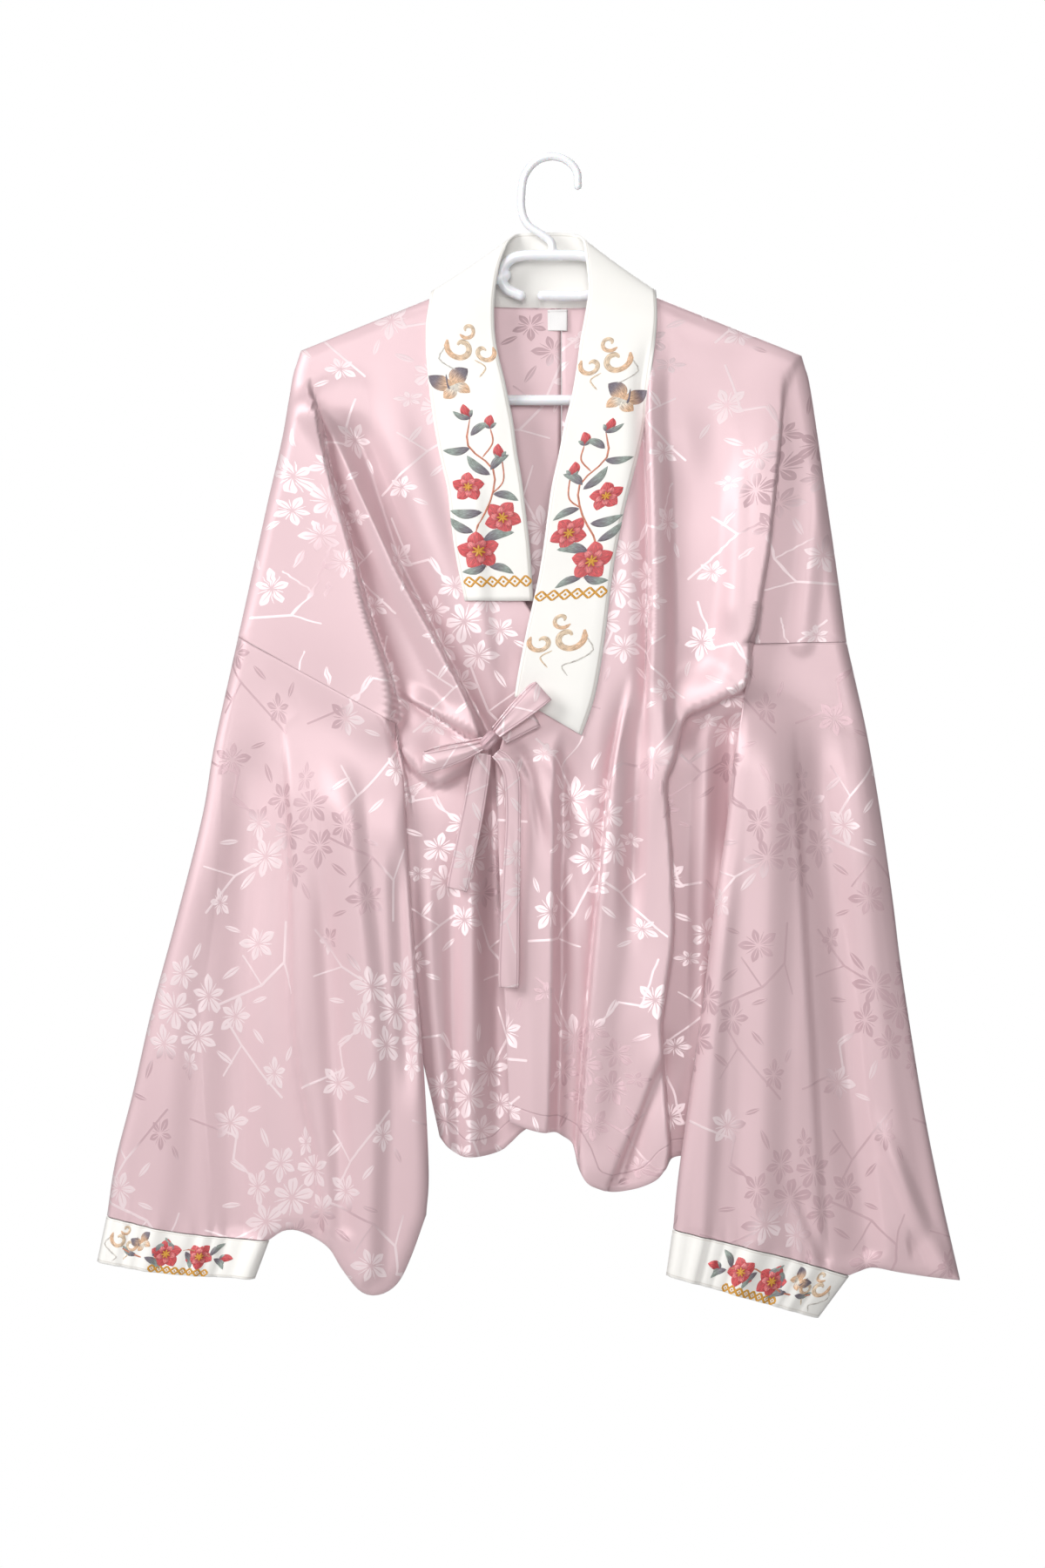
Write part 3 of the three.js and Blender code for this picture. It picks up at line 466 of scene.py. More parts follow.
def beside(line, x, z):
    """How far points lie off a line, + to the right of one who looks down it, how far along it, from 0 to 1, and
    which way is off it."""
    best = np.full(x.shape, 1e9)
    off, along, nx, nz = (np.zeros(x.shape) for _ in range(4))
    run = 0.0
    for (ax, az), (bx, bz) in zip(line[:-1], line[1:]):
        dx, dz = bx - ax, bz - az
        length = math.hypot(dx, dz)
        t = np.clip(((x - ax) * dx + (z - az) * dz) / length ** 2, 0, 1)
        d = np.hypot(x - ax - t * dx, z - az - t * dz)
        near = d < best - 1e-9
        best = np.where(near, d, best)
        off = np.where(near, np.where(dx * (z - az) - dz * (x - ax) < 0, -d, d), off)
        along = np.where(near, run + t * length, along)
        nx, nz = np.where(near, -dz / length, nx), np.where(near, dx / length, nz)
        run += length
    return off, along / run, nx, nz


def distance(line, x, z):
    return np.abs(beside(line, x, z)[0])


def fading(along, start, end):
    """Lets a fold die away at its two ends, each over a share of its length."""
    kept = smooth(0, start, along) if start else np.ones(along.shape)
    return kept * (1 - smooth(1 - end, 1, along)) if end else kept


def lap(fold, x, z):
    """The height of a fold that lies over its neighbour: high on its near side, low beyond it."""
    off, along, _, _ = beside(eased(fold["line"]), x, z)
    d = off * fold.get("near_is", 1)
    high = fold["high"] * (1 - smooth(0, fold["high_over"], -d))
    sides = fold.get("side", [FOLD_SIDE])
    side = np.interp(along, np.linspace(0, 1, len(sides)), sides)
    low = -fold["low"] * (1 - np.clip((d - side + 2) / fold["low_over"], 0, 1)) ** 2
    return mix(high, low, smooth(0, 1, (d + 2) / side)) * fading(along, fold.get("start"), fold.get("end"))


def roll(fold, x, z):
    """The height of a soft roll, or of a valley where it is below zero."""
    high, left, right, start, end, line = fold
    off, along, _, _ = beside(eased(line), x, z)
    t = np.abs(off) / np.where(off < 0, left, right)
    return high * (1 - smooth(0, 1, t)) * fading(along, start, end)


def tucked(folds, x, z):
    """Moves the crest of each overlapping fold over its neighbour."""
    sx, sz = x.copy(), z.copy()
    for fold in folds:
        off, along, nx, nz = beside(eased(fold["line"]), x, z)
        side = fold.get("near_is", 1)
        fade = fading(along, fold.get("start"), fold.get("end"))
        push = fold.get("over", 3.5) * np.exp(-((off * side + 3) / 5) ** 2) * fade * side
        sx, sz = sx + nx * push, sz + nz * push
    return sx, sz


RIGHT_LAPS = [
    dict(line=[(-204, -190), (-186, -261), (-166, -332), (-153, -382), (-137.5, -427), (-130, -464)],
         high=12, high_over=95, low=12, low_over=26, start=0.05, side=[5, 5]),
    dict(line=[(-208, -186), (-196, -210), (-179.5, -240), (-152, -297), (-127, -348), (-94.5, -407), (-58, -478)],
         high=10, high_over=18, low=13, low_over=44, start=0.1, side=[26, 22, 10, 7, 7]),
    dict(line=[(-127, -484), (-112, -504), (-96, -515), (-75, -506), (-56, -490)], near_is=-1,
         high=8, high_over=34, low=2, low_over=30, end=0.1, over=2),
    dict(line=[(-126, -440), (-104, -452), (-84, -464), (-62, -479)], near_is=-1,
         high=6, high_over=14, low=4, low_over=10, start=0.2),
]
RIGHT_ROLLS = [  # height, reach to its left and right, the shares that fade in and out, and the line it follows
    (5, 18, 30, 0.3, 0.2, [(-150, -190), (-105, -310), (-66, -430)]),
    (3, 14, 12, 0.3, 0.2, [(-64, -240), (-62, -330), (-52, -440)]),
    (4, 17, 13, 0.15, 0, [(-60, -505), (-66, -640), (-70, -824)]),
    (5, 13, 12, 0.3, 0, [(-104, -560), (-98, -690), (-86, -812)]),
    (-13, 25, 11, 0.1, 0, [(-50, -500), (-43, -650), (-40, -815)]),
    (-4, 9, 11, 0.4, 0, [(-84, -540), (-83, -660), (-78, -820)]),
]
LEFT_OVERHANG = [(204, -166), (196, -179), (189, -195), (185, -238), (181, -274), (176, -322), (170, -358), (164, -399),
                 (160, -434), (143, -443), (127, -451), (110, -459), (104, -472), (98, -497), (91, -518), (95, -570),
                 (97, -638), (92, -680), (87, -720), (90, -762), (96, -842)]
LEFT_LAPS = [
    dict(line=[(2, -470), (0, -540), (-1, -680), (-4, -810)],
         high=5, high_over=32, low=14, low_over=34, start=0.15, over=1.5, side=[11]),
    dict(line=[(66, -420), (50, -517), (40, -620), (31, -720), (22, -850)], near_is=-1,
         high=9, high_over=46, low=7, low_over=16, start=0.2, over=3),
    dict(line=[(84, -140), (80, -200), (82, -300), (82, -400), (78, -490)], near_is=-1,
         high=7, high_over=17, low=9, low_over=16, start=0.2, end=0.2, over=2),
    dict(line=[(92, -715), (80, -755), (66, -795), (50, -835)],
         high=3, high_over=24, low=7, low_over=24, start=0.3, over=2, side=[8]),
]
LEFT_ROLLS = [
    (2, 15, 14, 0.5, 0, [(-24, -520), (-22, -640), (-20, -805)]),
    (-13, 11, 46, 0.3, 0.15, [(98, -220), (101, -300), (103, -400), (100, -500)]),
    (-11, 16, 14, 0.2, 0.4, [(72, -440), (68, -540), (64, -660)]),
    (-12, 24, 12, 0.1, 0.4, [(150, -455), (149, -520), (150, -600)]),
    (3, 9, 9, 0.2, 0.4, [(-30, -486), (6, -570), (24, -700)]),
    (2.5, 8, 12, 0.2, 0.4, [(-16, -476), (30, -560), (44, -640)]),
    (4, 12, 12, 0.2, 0, [(128, -470), (122, -640), (126, -822)]),
    (3, 14, 14, 0.4, 0, [(222, -240), (214, -330), (206, -400)]),
    (-4, 7, 7, 0.2, 0.5, [(-34, -478), (-14, -520), (-6, -590)]),
    (-4, 26, 22, 0.3, 0.1, [(130, -180), (138, -280), (132, -380), (118, -440)]),
    (3, 14, 12, 0.3, 0.2, [(152, -250), (150, -330), (146, -400)]),
]
BACK_ROLLS = [
    (5, 26, 26, 0.2, 0, [(-150, -190), (-92, -400), (-78, -815)]),
    (4, 18, 18, 0.4, 0, [(-60, -300), (-40, -560), (-36, -815)]),
    (5, 22, 22, 0.4, 0, [(60, -260), (48, -520), (50, -815)]),
    (5, 24, 24, 0.2, 0, [(140, -190), (98, -420), (100, -815)]),
]


def ripple(x, z):
    """The faint unevenness of hanging satin."""
    return (0.7 * np.sin(x / 17 + 0.8 * np.sin(z / 61)) * np.sin(z / 83 + 1.1) +
            0.5 * np.sin((x + 0.5 * z) / 23 + 1.7) * np.sin((x - z) / 97) +
            0.3 * np.sin(x / 9.5 + 1.3 * np.sin(z / 47)) * np.sin(z / 120 + x / 60))


def over_hanger(height, z):
    """The cloth lies on the hanger as far down as its bar."""
    return mix(height, np.maximum(height, ON_HANGER), 1 - smooth(*BELOW_BAR, -z))


def front_right(x, z):
    hidden = smooth(34, 52, -x)  # what lies under the other front is flat
    return over_hanger(ON_HANGER + 4 * smooth(100, 250, -z) + sum(lap(f, x, z) for f in RIGHT_LAPS) +
                       hidden * (sum(roll(f, x, z) for f in RIGHT_ROLLS) + ripple(x, z)) -
                       3 * (1 - hidden) * smooth(380, 430, -z) - 7 * (1 - hidden) * smooth(430, 500, -z), z)


def front_left(x, z):
    off, along, _, _ = beside(eased(LEFT_OVERHANG, 4), x, z)
    near = 1 - smooth(-FOLD_SIDE / 2, FOLD_SIDE / 2, off)
    lift = 9 * (1 - smooth(0, 38, np.abs(off))) * smooth(0, 0.2, along)
    near = near * (1 + 15 * smooth(140, 330, -z) + lift) + (1 - near) * 3 * smooth(0, 0.15, along)
    return over_hanger(ON_HANGER + near +
                       sum(roll(f, x, z) for f in LEFT_ROLLS) + sum(lap(f, x, z) for f in LEFT_LAPS) + ripple(x, z), z)


def lies_back(x, z):
    return 11 + sum(roll(f, x, z) for f in BACK_ROLLS) + ripple(x + 40, z)


FRONTS = dict(right=front_right, left=front_left)


def body_sheet(side, end, columns, close):
    """A front or back as rows of places in mm."""
    half = HALVES[side]
    stations, rows = half["stations"], [s[3] for s in half["stations"]][:-1]
    corners = [k for k, s in enumerate(stations) if len(s) > 4]
    outer = eased([s[0] for s in stations], rows, corners)
    inner = eased([s[1 if end == "front" else 2] for s in stations], rows, range(len(stations)))
    u = (1 - (1 - np.linspace(0, 1, columns + 1)) ** close)[None, :, None]
    flat = mix(inner[:, None], outer[:, None], u)
    x, z = flat[..., 0], flat[..., 1]
    if end == "front":
        last = rows[-1]
        drop = sorted(map(tuple, eased(half["hem"], 5)))
        target = np.interp(x[-1], [p[0] for p in drop], [p[1] for p in drop])
        for j in range(1, last + 1):
            z[-1 - last + j] = mix(z[-1 - last], target, j / last)
    edge = np.minimum(distance(RIDGE[side], x, z), distance(eased(OUTER[side]), x, z))
    high = (FRONTS[side](x, z) if end == "front" else lies_back(x, z)) * rounded(edge, ROUND)
    to_side = rounded(distance(eased(SIDE[side]), x, z), 9)
    first_side = sum(rows[:ARMHOLE_ENDS])
    to_side[first_side:, -1] = 0
    high[:first_side - rows[ARMHOLE_ENDS - 1] + 1, -1] = 0
    high[0] = 0
    y = mix(-SIDE_MEETS[side], high * (-1 if end == "front" else 1), to_side)
    if end == "front":
        folds = RIGHT_LAPS if side == "right" else LEFT_LAPS + [dict(line=LEFT_OVERHANG, over=3.5, start=0.06)]
        inside = smooth(0, 14, edge) * smooth(0, 14, distance(eased(SIDE[side]), x, z)) * smooth(0, 20, z - z[-1:, :])
        mx, mz = tucked(folds, x, z)
        inside = inside * smooth(0, 16, distance(ARM_SEAM[side], x, z))
        x, z = mix(x, mx, inside), mix(z, mz, inside)
    return np.stack([x, y, z], axis=-1)


def cut_map(at, turned=False, shift=(0, 0)):
    """Where each place of a sheet lay on the flat cloth, in metres: the folds' own width is added from side to side."""
    step = np.diff(at, axis=1)
    slack = np.linalg.norm(step, axis=-1) - np.hypot(step[..., 0], step[..., 2])
    extra = np.concatenate([np.zeros((at.shape[0], 1)), np.cumsum(slack * np.sign(step[..., 0]), axis=1)], axis=1)
    u, v = at[..., 0] + extra, at[..., 2]
    if turned:
        u, v = v, -u
    return np.stack([u + shift[0], v + shift[1]], axis=-1) / 1000


def laid_out(at, cut, facing, line=None):
    """A grid of cloth with its corners moved to the places given, facing the way given by the sign of y."""
    rows, columns = at.shape[0] - 1, at.shape[1] - 1
    bm = bmesh.new()
    bmesh.ops.create_grid(bm, x_segments=columns, y_segments=rows, size=0.5)
    mesh = mesh_of(bm, "sheet")
    flat = np.empty(len(mesh.vertices) * 3)
    mesh.vertices.foreach_get("co", flat)
    flat = flat.reshape(-1, 3)
    i = np.rint((flat[:, 0] + 0.5) * columns).astype(int)
    j = np.rint((0.5 - flat[:, 1]) * rows).astype(int)
    mesh.vertices.foreach_set("co", (at[j, i] / 1000).ravel())
    corner = np.empty(len(mesh.loops), int)
    mesh.loops.foreach_get("vertex_index", corner)
    mesh.uv_layers.new(name="cut").data.foreach_set("uv", cut[j, i][corner].ravel())
    values = np.full(len(i), 9.0) if line is None else line[j, i]
    mesh.attributes.new("stitch_line", "FLOAT", "POINT").data.foreach_set("value", values)
    mesh.update()
    normals = np.empty(len(mesh.polygons) * 3)
    mesh.polygons.foreach_get("normal", normals)
    if normals.reshape(-1, 3)[:, 1].sum() * facing < 0:
        mesh.flip_normals()
    return mesh


def sewn(name, sheets, material, thickness=CLOTH):
    """One piece from sheets that meet along their folds and seams, with the thickness of its cloth."""
    bm = bmesh.new()
    for mesh in sheets:
        bm.from_mesh(mesh)
    bmesh.ops.remove_doubles(bm, verts=bm.verts, dist=0.00005)
    mesh = mesh_of(bm, name)
    mesh.shade_smooth()
    mesh.materials.append(material)
    piece = add_object(name, mesh)
    if thickness:
        wall = piece.modifiers.new("cloth", "SOLIDIFY")
        wall.thickness, wall.offset = thickness / 1000, 0
    return piece


def hem_lines(at):
    """How far in mm each place lies above the stitching of the hem."""
    x, z = at[..., 0], at[..., 2]
    hem = np.stack([x[-1], z[-1]], axis=-1)
    return distance(hem[:: 4], x, z) - HEM_DEEP


right_front = body_sheet("right", "front", 100, 1.25)
right_back = body_sheet("right", "back", 84, 1.3)
right_half = sewn("right_half", [
    laid_out(right_front, cut_map(right_front), -1, hem_lines(right_front)),
    laid_out(right_back, cut_map(right_back, shift=(61, 40)), 1, hem_lines(right_back))], pink_satin)
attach(right_half, "root")
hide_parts("right_front", "right_back")

# ------------------------------------------------------------------ the wearer's left half
# The same for the left half. Its front edge lies over the right one, and the cloth under its
# arm hangs in a deep fold that shades the side behind it.

left_front = body_sheet("left", "front", 110, 1.2)
left_back = body_sheet("left", "back", 80, 1.3)
left_half = sewn("left_half", [
    laid_out(left_front, cut_map(left_front, shift=(20, 70)), -1, hem_lines(left_front)),
    laid_out(left_back, cut_map(left_back, shift=(-40, 20)), 1, hem_lines(left_back))], pink_satin)
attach(left_half, "root")
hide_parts("left_front", "left_back")

# ------------------------------------------------------------------ sleeves
# Each sleeve is one piece of satin folded along its outer edge and sewn along the inner one, so
# it hangs as a flat tube. Its end is open where the cuff is and sewn shut beside it.

SLEEVE_HALF = 7.5  # half of the depth of a hanging sleeve
SLEEVES = dict(
    right=dict(
        outer=OUTER["right"][5:],
        inner=[(-130, -466), (-124, -501), (-121, -543), (-117.5, -603), (-112, -674), (-106, -752), (-102, -835),
               (-104, -871)],
        closed=[(-234, -893), (-221, -885), (-206, -886), (-185, -898), (-173, -916), (-158, -934), (-143, -937),
                (-128, -928), (-117, -907), (-104, -871)],
        cuff_first=True, cuff_seam=[(-368, -874), (-318, -885), (-271, -891), (-234, -893)],
        cuff_hem=[(-376, -912), (-331, -919), (-292, -923), (-246, -925)], mid_outer=6, mid_inner=22,
        rolls=[
            (8, 30, 17, 0.2, 0, [(-176, -440), (-166, -560), (-153, -680), (-147, -760), (-152, -915)]),
            (-6, 13, 10, 0.2, 0.3, [(-127, -560), (-122, -680), (-116, -790)]),
            (-3, 14, 12, 0.3, 0, [(-190, -560), (-182, -700), (-170, -880)]),
            (-7, 32, 26, 0.2, 0, [(-241, -420), (-251, -600), (-260, -750), (-258, -880)]),
            (4, 26, 26, 0.3, 0, [(-276, -500), (-310, -700), (-325, -880)])],
        laps=[
            dict(line=[(-222, -440), (-215, -562), (-210, -728), (-192, -826), (-188, -880)], near_is=-1,
                 high=5, high_over=30, low=4, low_over=30, start=0.1, side=[7])]),
    left=dict(
        outer=OUTER["left"][5:],
        inner=[(167, -401), (160, -435), (154.5, -467), (150, -492), (143, -554), (135, -606), (126, -680), (117, -744),
               (104, -837), (99.5, -882)],
        closed=[(337, -927), (311, -924), (286, -920), (265, -916), (253, -919), (245, -922)],
        cuff_first=False, cuff_seam=[(245, -922), (215, -912), (185, -903), (138, -891), (99.5, -882)],
        cuff_hem=[(219, -957), (178, -944), (135, -931), (94, -920)], mid_outer=8, mid_inner=27,
        rolls=[
            (6, 34, 22, 0.2, 0, [(240, -420), (254, -560), (268, -700), (292, -880)]),
            (-6, 28, 22, 0.2, 0, [(212, -430), (230, -600), (244, -760), (258, -900)]),
            (5, 22, 24, 0.3, 0, [(180, -430), (176, -650), (170, -890)]),
            (4, 12, 14, 0.3, 0, [(145, -560), (132, -720), (122, -880)]),
            (4, 12, 12, 0.4, 0, [(262, -780), (290, -850), (322, -915)]),
            (-3, 8, 8, 0.4, 0, [(196, -840), (212, -880), (222, -905)])],
        laps=[
            dict(line=[(196, -440), (204, -600), (214, -760), (222, -905)],
                 high=2, high_over=34, low=2, low_over=30, start=0.3)]))
SLEEVE_ROWS, CUFF_COLUMNS, SHUT_COLUMNS = 130, 40, 44


def paced(line):
    """Places along a soft curve by the share of its length."""
    soft = eased(line, 12)
    run = np.concatenate([[0], np.cumsum(np.linalg.norm(np.diff(soft, axis=0), axis=1))])
    return lambda t: np.stack([np.interp(np.clip(t, 0, 1) * run[-1], run, soft[:, k]) for k in range(2)], axis=-1)


def denser(t, start, end):
    return t - start * np.sin(np.pi * t) * (1 - t) * 0.5 + end * np.sin(np.pi * t) * t * 0.5


def sleeve_sheets(side):
    s = SLEEVES[side]
    first, columns = (CUFF_COLUMNS if s["cuff_first"] else SHUT_COLUMNS), CUFF_COLUMNS + SHUT_COLUMNS
    split = 0.45 if s["cuff_first"] else 0.4
    i = np.arange(columns + 1)
    low, high = np.clip(i / first, 0, 1), np.clip((i - first) / (columns - first), 0, 1)
    across = np.where(i <= first, split * low, split + (1 - split) * high)
    a, b = (s["cuff_seam"], s["closed"]) if s["cuff_first"] else (s["closed"], s["cuff_seam"])
    foot = np.where((i <= first)[:, None], paced(a)(low), paced(b)(high))
    u, v = denser(across, 0.4, 0.4)[None, :, None], denser(np.linspace(0, 1, SLEEVE_ROWS + 1), 0.2, 0.5)[:, None, None]
    top0, top1 = np.array(s["outer"][0], float), np.array(s["inner"][0], float)
    outer, inner = paced(s["outer"])(v[..., 0]), paced(s["inner"])(v[..., 0])
    flat = (mix(mix(top0, top1, u), foot[None], v) + mix(outer, inner, u) -
            mix(mix(top0, top1, u), mix(foot[0], foot[-1], u), v))
    x, z = flat[..., 0], flat[..., 1]
    u, v = u[..., 0] + 0 * x, v[..., 0] + 0 * x
    outside = eased(OUTER[side])
    lines = [outside, eased(s["inner"]), eased(s["closed"])]
    q = rounded(np.min([distance(line, x, z) for line in lines], axis=0), ROUND)
    q[:, 0] = q[:, -1] = 0
    shut = (i >= first) if s["cuff_first"] else (i <= first)
    q[-1, shut] = 0
    mid_inner = mix(SIDE_MEETS[side], s["mid_inner"], smooth(0, 0.17, v))
    mid = mix(s["mid_outer"] * smooth(0, 0.3, v), mid_inner, smooth(0, 1, u))
    fold = sum(roll(f, x, z) for f in s["rolls"]) + sum(lap(f, x, z) for f in s["laps"])
    fold = fold * smooth(0.05, 0.25, v) + ripple(x + 80, z)
    to_cuff = distance(eased(s["cuff_seam"]), x, z)
    fold = fold + 1.1 * np.sin(x / 2.6 + 2 * np.sin(x / 11)) * np.exp(-to_cuff / 11)
    hang = smooth(0, 0.22, v)
    front = -mix(FRONTS[side](x, z), mid + SLEEVE_HALF + fold, hang)
    rear = mix(lies_back(x, z), SLEEVE_HALF - mid + 0.5 * np.maximum(0, fold) * (1 - smooth(0.4, 0.7, u)), hang)
    z = z - 0.25 * (v == 0)
    return [np.stack([x, mix(-mid, free, q), z], axis=-1) for free in (front, rear)], first


def seam_lines(at):
    x, z = at[..., 0], at[..., 2]
    return distance(np.stack([x[0], z[0]], axis=-1)[:: 6], x, z) + 0.3


sleeve_grids = {}
for side in ("right", "left"):
    (front, rear), first = sleeve_sheets(side)
    sleeve_grids[side] = (front, rear, first)
    name = f"{side}_sleeve_cloth"
    # the wearer's left sleeve takes the satin with more painted shade on its motif
    sleeve = sewn(name, [laid_out(front, cut_map(front, True, (30, 95)), -1, seam_lines(front)),
                         laid_out(rear, cut_map(rear, True, (75, 10)), 1, seam_lines(rear))],
                  pink_satin if side == "right" else pink_satin_more_shade)
    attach(sleeve, "root")
    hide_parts(f"{side}_sleeve")

# ------------------------------------------------------------------ cuffs
# Each cuff is a band of ivory satin about 37 mm wide, folded double and sewn to the open end
# of its sleeve, with a line of stitching along both of its edges.

IVORY = dict(base=(0.90, 0.885, 0.85, 1), shade=(0.84, 0.82, 0.78, 1), thread=(0.62, 0.58, 0.53, 1))

ivory_satin, w, shader = new_material("ivory satin")
where = w.node("ShaderNodeTexCoord", out=3)
weave = w.node("ShaderNodeTexNoise", w.vector("MULTIPLY", where, (2200, 600, 500)), None, 1.0, 1.0)
sewing = w.effect(stitch_group, 0.7, 0.2)
drift = w.node("ShaderNodeTexNoise", where, None, 25.0, 2.0)
plain = w.colour(w.math("MULTIPLY", drift, 0.6), IVORY["base"], IVORY["shade"])
w.put(shader.inputs["Base Color"], w.colour(w.math("MULTIPLY", sewing, 0.55), plain, IVORY["thread"]))
w.put(shader.inputs["Roughness"], w.math("MULTIPLY_ADD", weave, 0.1, 0.4))
relief_of(w, shader, 0.25, 0.0002, w.math("MULTIPLY_ADD", sewing, -2.0, weave))
finish(shader, ("Sheen Weight", 0.2), ("Specular IOR Level", 0.5))

CUFF_ROWS, CUFF_THICK, CUFF_WIDE = 16, 1.4, 36
cuff_grids = {}
for side in ("right", "left"):
    front, rear, first = sleeve_grids[side]
    s = SLEEVES[side]
    part = (lambda at: at[-1, :first + 1]) if s["cuff_first"] else (lambda at: at[-1, first:])
    edges = [part(front), part(rear)]
    middle = (edges[0][:, 1] + edges[1][:, 1]) / 2
    hem = paced(s["cuff_hem"])(np.linspace(0, 1, len(middle)))
    t = np.linspace(0.02, 1, CUFF_ROWS + 1)[:, None]
    grids = []
    for edge in edges:
        apart = (edge[:, 1] - middle)[None] * (1 + 0.12 * t + 0.06 * np.sin(np.pi * t))
        grids.append(np.stack([mix(edge[:, 0][None], hem[:, 0][None], t), middle[None] + apart,
                               mix(edge[:, 2][None], hem[:, 1][None], t)], axis=-1))
    cuff_grids[side] = grids
    name = f"{side}_cuff_band"
    line = CUFF_WIDE * np.minimum(t, 1 - t) - 2 + 0 * grids[0][..., 0]
    sheets = [laid_out(grid, cut_map(grid), facing, line) for grid, facing in zip(grids, (-1, 1))]
    cuff = sewn(name, sheets, ivory_satin, CUFF_THICK)
    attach(cuff, "root")
    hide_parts(f"{side}_cuff")

# ------------------------------------------------------------------ collar band
# One strip of ivory satin, folded double, from its end on the right front round the neck to its
# lower end on the left front. It is sewn on along its outer edge.

BAND = [  # the seam, the free edge, and the front that it lies on or its depth at both
    ((-72, -366), (-15.5, -366), "right"), ((-77, -343), (-17, -341), "right"), ((-81, -321), (-19, -316), "right"),
    ((-84, -297), (-22, -291), "right"), ((-86.5, -274), (-25, -267), "right"), ((-92, -250), (-29, -243), "right"),
    ((-96.5, -227), (-32, -220), "right"), ((-100, -204), (-35.5, -202), "right"),
    ((-102.5, -182), (-39.5, -183), "right"), ((-104, -165), (-44, -165), "right"),
    ((-104.5, -148), (-47, -148), "right"), ((-104, -134), (-48, -128), "right"),
    ((-102, -122), (-47, -109), (-11, -10.5)), ((-100.5, -112.5), (-43.5, -88), (-6.8, -8)),
    ((-98.5, -109), (-37, -69), (0, -2.5)), ((-90, -112), (-32, -62), (9, 5)), ((-70, -119), (-27, -59), (14.3, 10)),
    ((-40, -123), (-18, -58), (14.6, 11.5)), ((-5, -124), (-5, -57.5), (14.6, 12.5)),
    ((30, -123), (10, -58), (14.6, 11.5)), ((57, -119), (18, -59.5), (14.3, 10)), ((76, -112), (22, -61.5), (9, 5)),
    ((84.5, -108), (25.5, -67), (0, -2.5)), ((86, -112), (28, -84), (-6.8, -8)),
    ((86.5, -122), (30, -107), (-11, -10.5)), ((86.5, -135), (28, -124), "left"), ((85, -153), (23, -152), "left"),
    ((82, -172), (20, -174), "left"), ((79, -195), (16, -197), "left"), ((77, -217), (10, -221), "left"),
    ((72, -241), (5, -247), "left"), ((66, -265), (-0.5, -272), "left"), ((60, -289), (-4, -297), "left"),
    ((55, -312), (-7, -320), "left"), ((50.5, -338), (-11, -345), "left"), ((47, -364), (-16, -368), "left"),
    ((44, -390), (-21, -390), "left"), ((40, -418), (-26, -415), "left"), ((34, -448), (-29, -431), "left"),
    ((24, -477), (-31, -445), "left"),
]
BAND_COLUMNS, BAND_STEPS, BAND_THICK = 16, 6, 1.6
BAND_LIES = 3.5  # how far in front of the cloth under it the band lies

across = np.linspace(0, 1, BAND_COLUMNS + 1)
seam_edge, free_edge = (eased([row[k] for row in BAND], BAND_STEPS) for k in range(2))
flat = mix(seam_edge[:, None], free_edge[:, None], across[None, :, None])
x, z = flat[..., 0], flat[..., 1]
levels = []
for seam, free, lies in BAND:
    if lies in FRONTS:
        levels.append(-(FRONTS[lies](*(mix(seam[k], free[k], across) for k in range(2))) + BAND_LIES))
    else:
        levels.append(mix(*lies, across))
level = eased(levels, BAND_STEPS)
share = np.arange(len(level)) / BAND_STEPS
for side, near in (("right", 1 - smooth(10, 11.5, share)), ("left", smooth(25, 26.5, share))):
    laid = -(FRONTS[side](x, z) + 3.0 - 1.2 * (1 - smooth(0, 0.12, across))[None])
    level = mix(level, laid, near[:, None])
band_at = np.stack([x, level, z], axis=-1)
band_line = (np.minimum(across, 1 - across) * 58 - 2.2)[None] + 0 * x
collar = sewn("collar_band", [laid_out(band_at, cut_map(band_at), -1, band_line)], ivory_satin, BAND_THICK)
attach(collar, "root")
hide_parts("collar")

# ------------------------------------------------------------------ ties
# Two ribbons of the same pink satin, turned in at their edges. One is sewn under the end of
# the collar band, the other to the right front. They are tied in a small bow with hanging ends.

KNOT = dict(at=(-52, -38, -481.5), along=9, across=6, deep=6.5, turn=52)
LOOPS = dict(  # the ribbon's middle on its way out in front and back behind, with its width
    tie_loop_upper=dict(across=(-0.66, 0, 0.75), path=[
        (-46, -39.5, -476, 8), (-38, -41.5, -468.5, 11.5), (-26, -42.5, -458, 15.5),
        (-12.5, -42.5, -445.8, 19), (-7.5, -39.6, -441, 19.5), (-13.5, -36.8, -443.8, 19),
        (-28, -35.5, -456, 15), (-39, -35.8, -466.3, 11), (-47, -37, -474, 8)]),
    tie_loop_lower=dict(across=(0.12, -0.1, 1), path=[
        (-56, -39, -485, 8), (-68, -41.5, -490, 12), (-85, -42.5, -495.5, 16),
        (-101, -42, -499.3, 17.5), (-106.3, -39, -499.5, 17.5), (-101, -36, -496.3, 17),
        (-85, -34.6, -491.5, 15.5), (-69, -35, -486.5, 11), (-57, -36.5, -482.5, 8)]))
TAILS = dict(  # the same, on their way down
    tie_tail_left=[(-56.5, -35.5, -492, 13), (-59, -34, -505, 16), (-64, -31.5, -535, 17.5),
                   (-71, -29.5, -570, 18), (-77.5, -28.6, -600, 17.5), (-78.2, -28.5, -603, 14)],
    tie_tail_right=[(-46.2, -38, -491.5, 9), (-38.5, -38.5, -499, 12), (-33, -38, -513, 13),
                    (-32, -36.5, -545, 12), (-33.5, -35.5, -590, 14), (-35, -35, -640, 16),
                    (-35.8, -34.5, -679.5, 16.5), (-35.9, -34.5, -682.5, 12)],
    tie_stub=[(-41.5, -33, -479, 12), (-30, -32, -471.5, 15), (-13.5, -31.5, -462.5, 16)])


RIBBON_THICK = 1.0


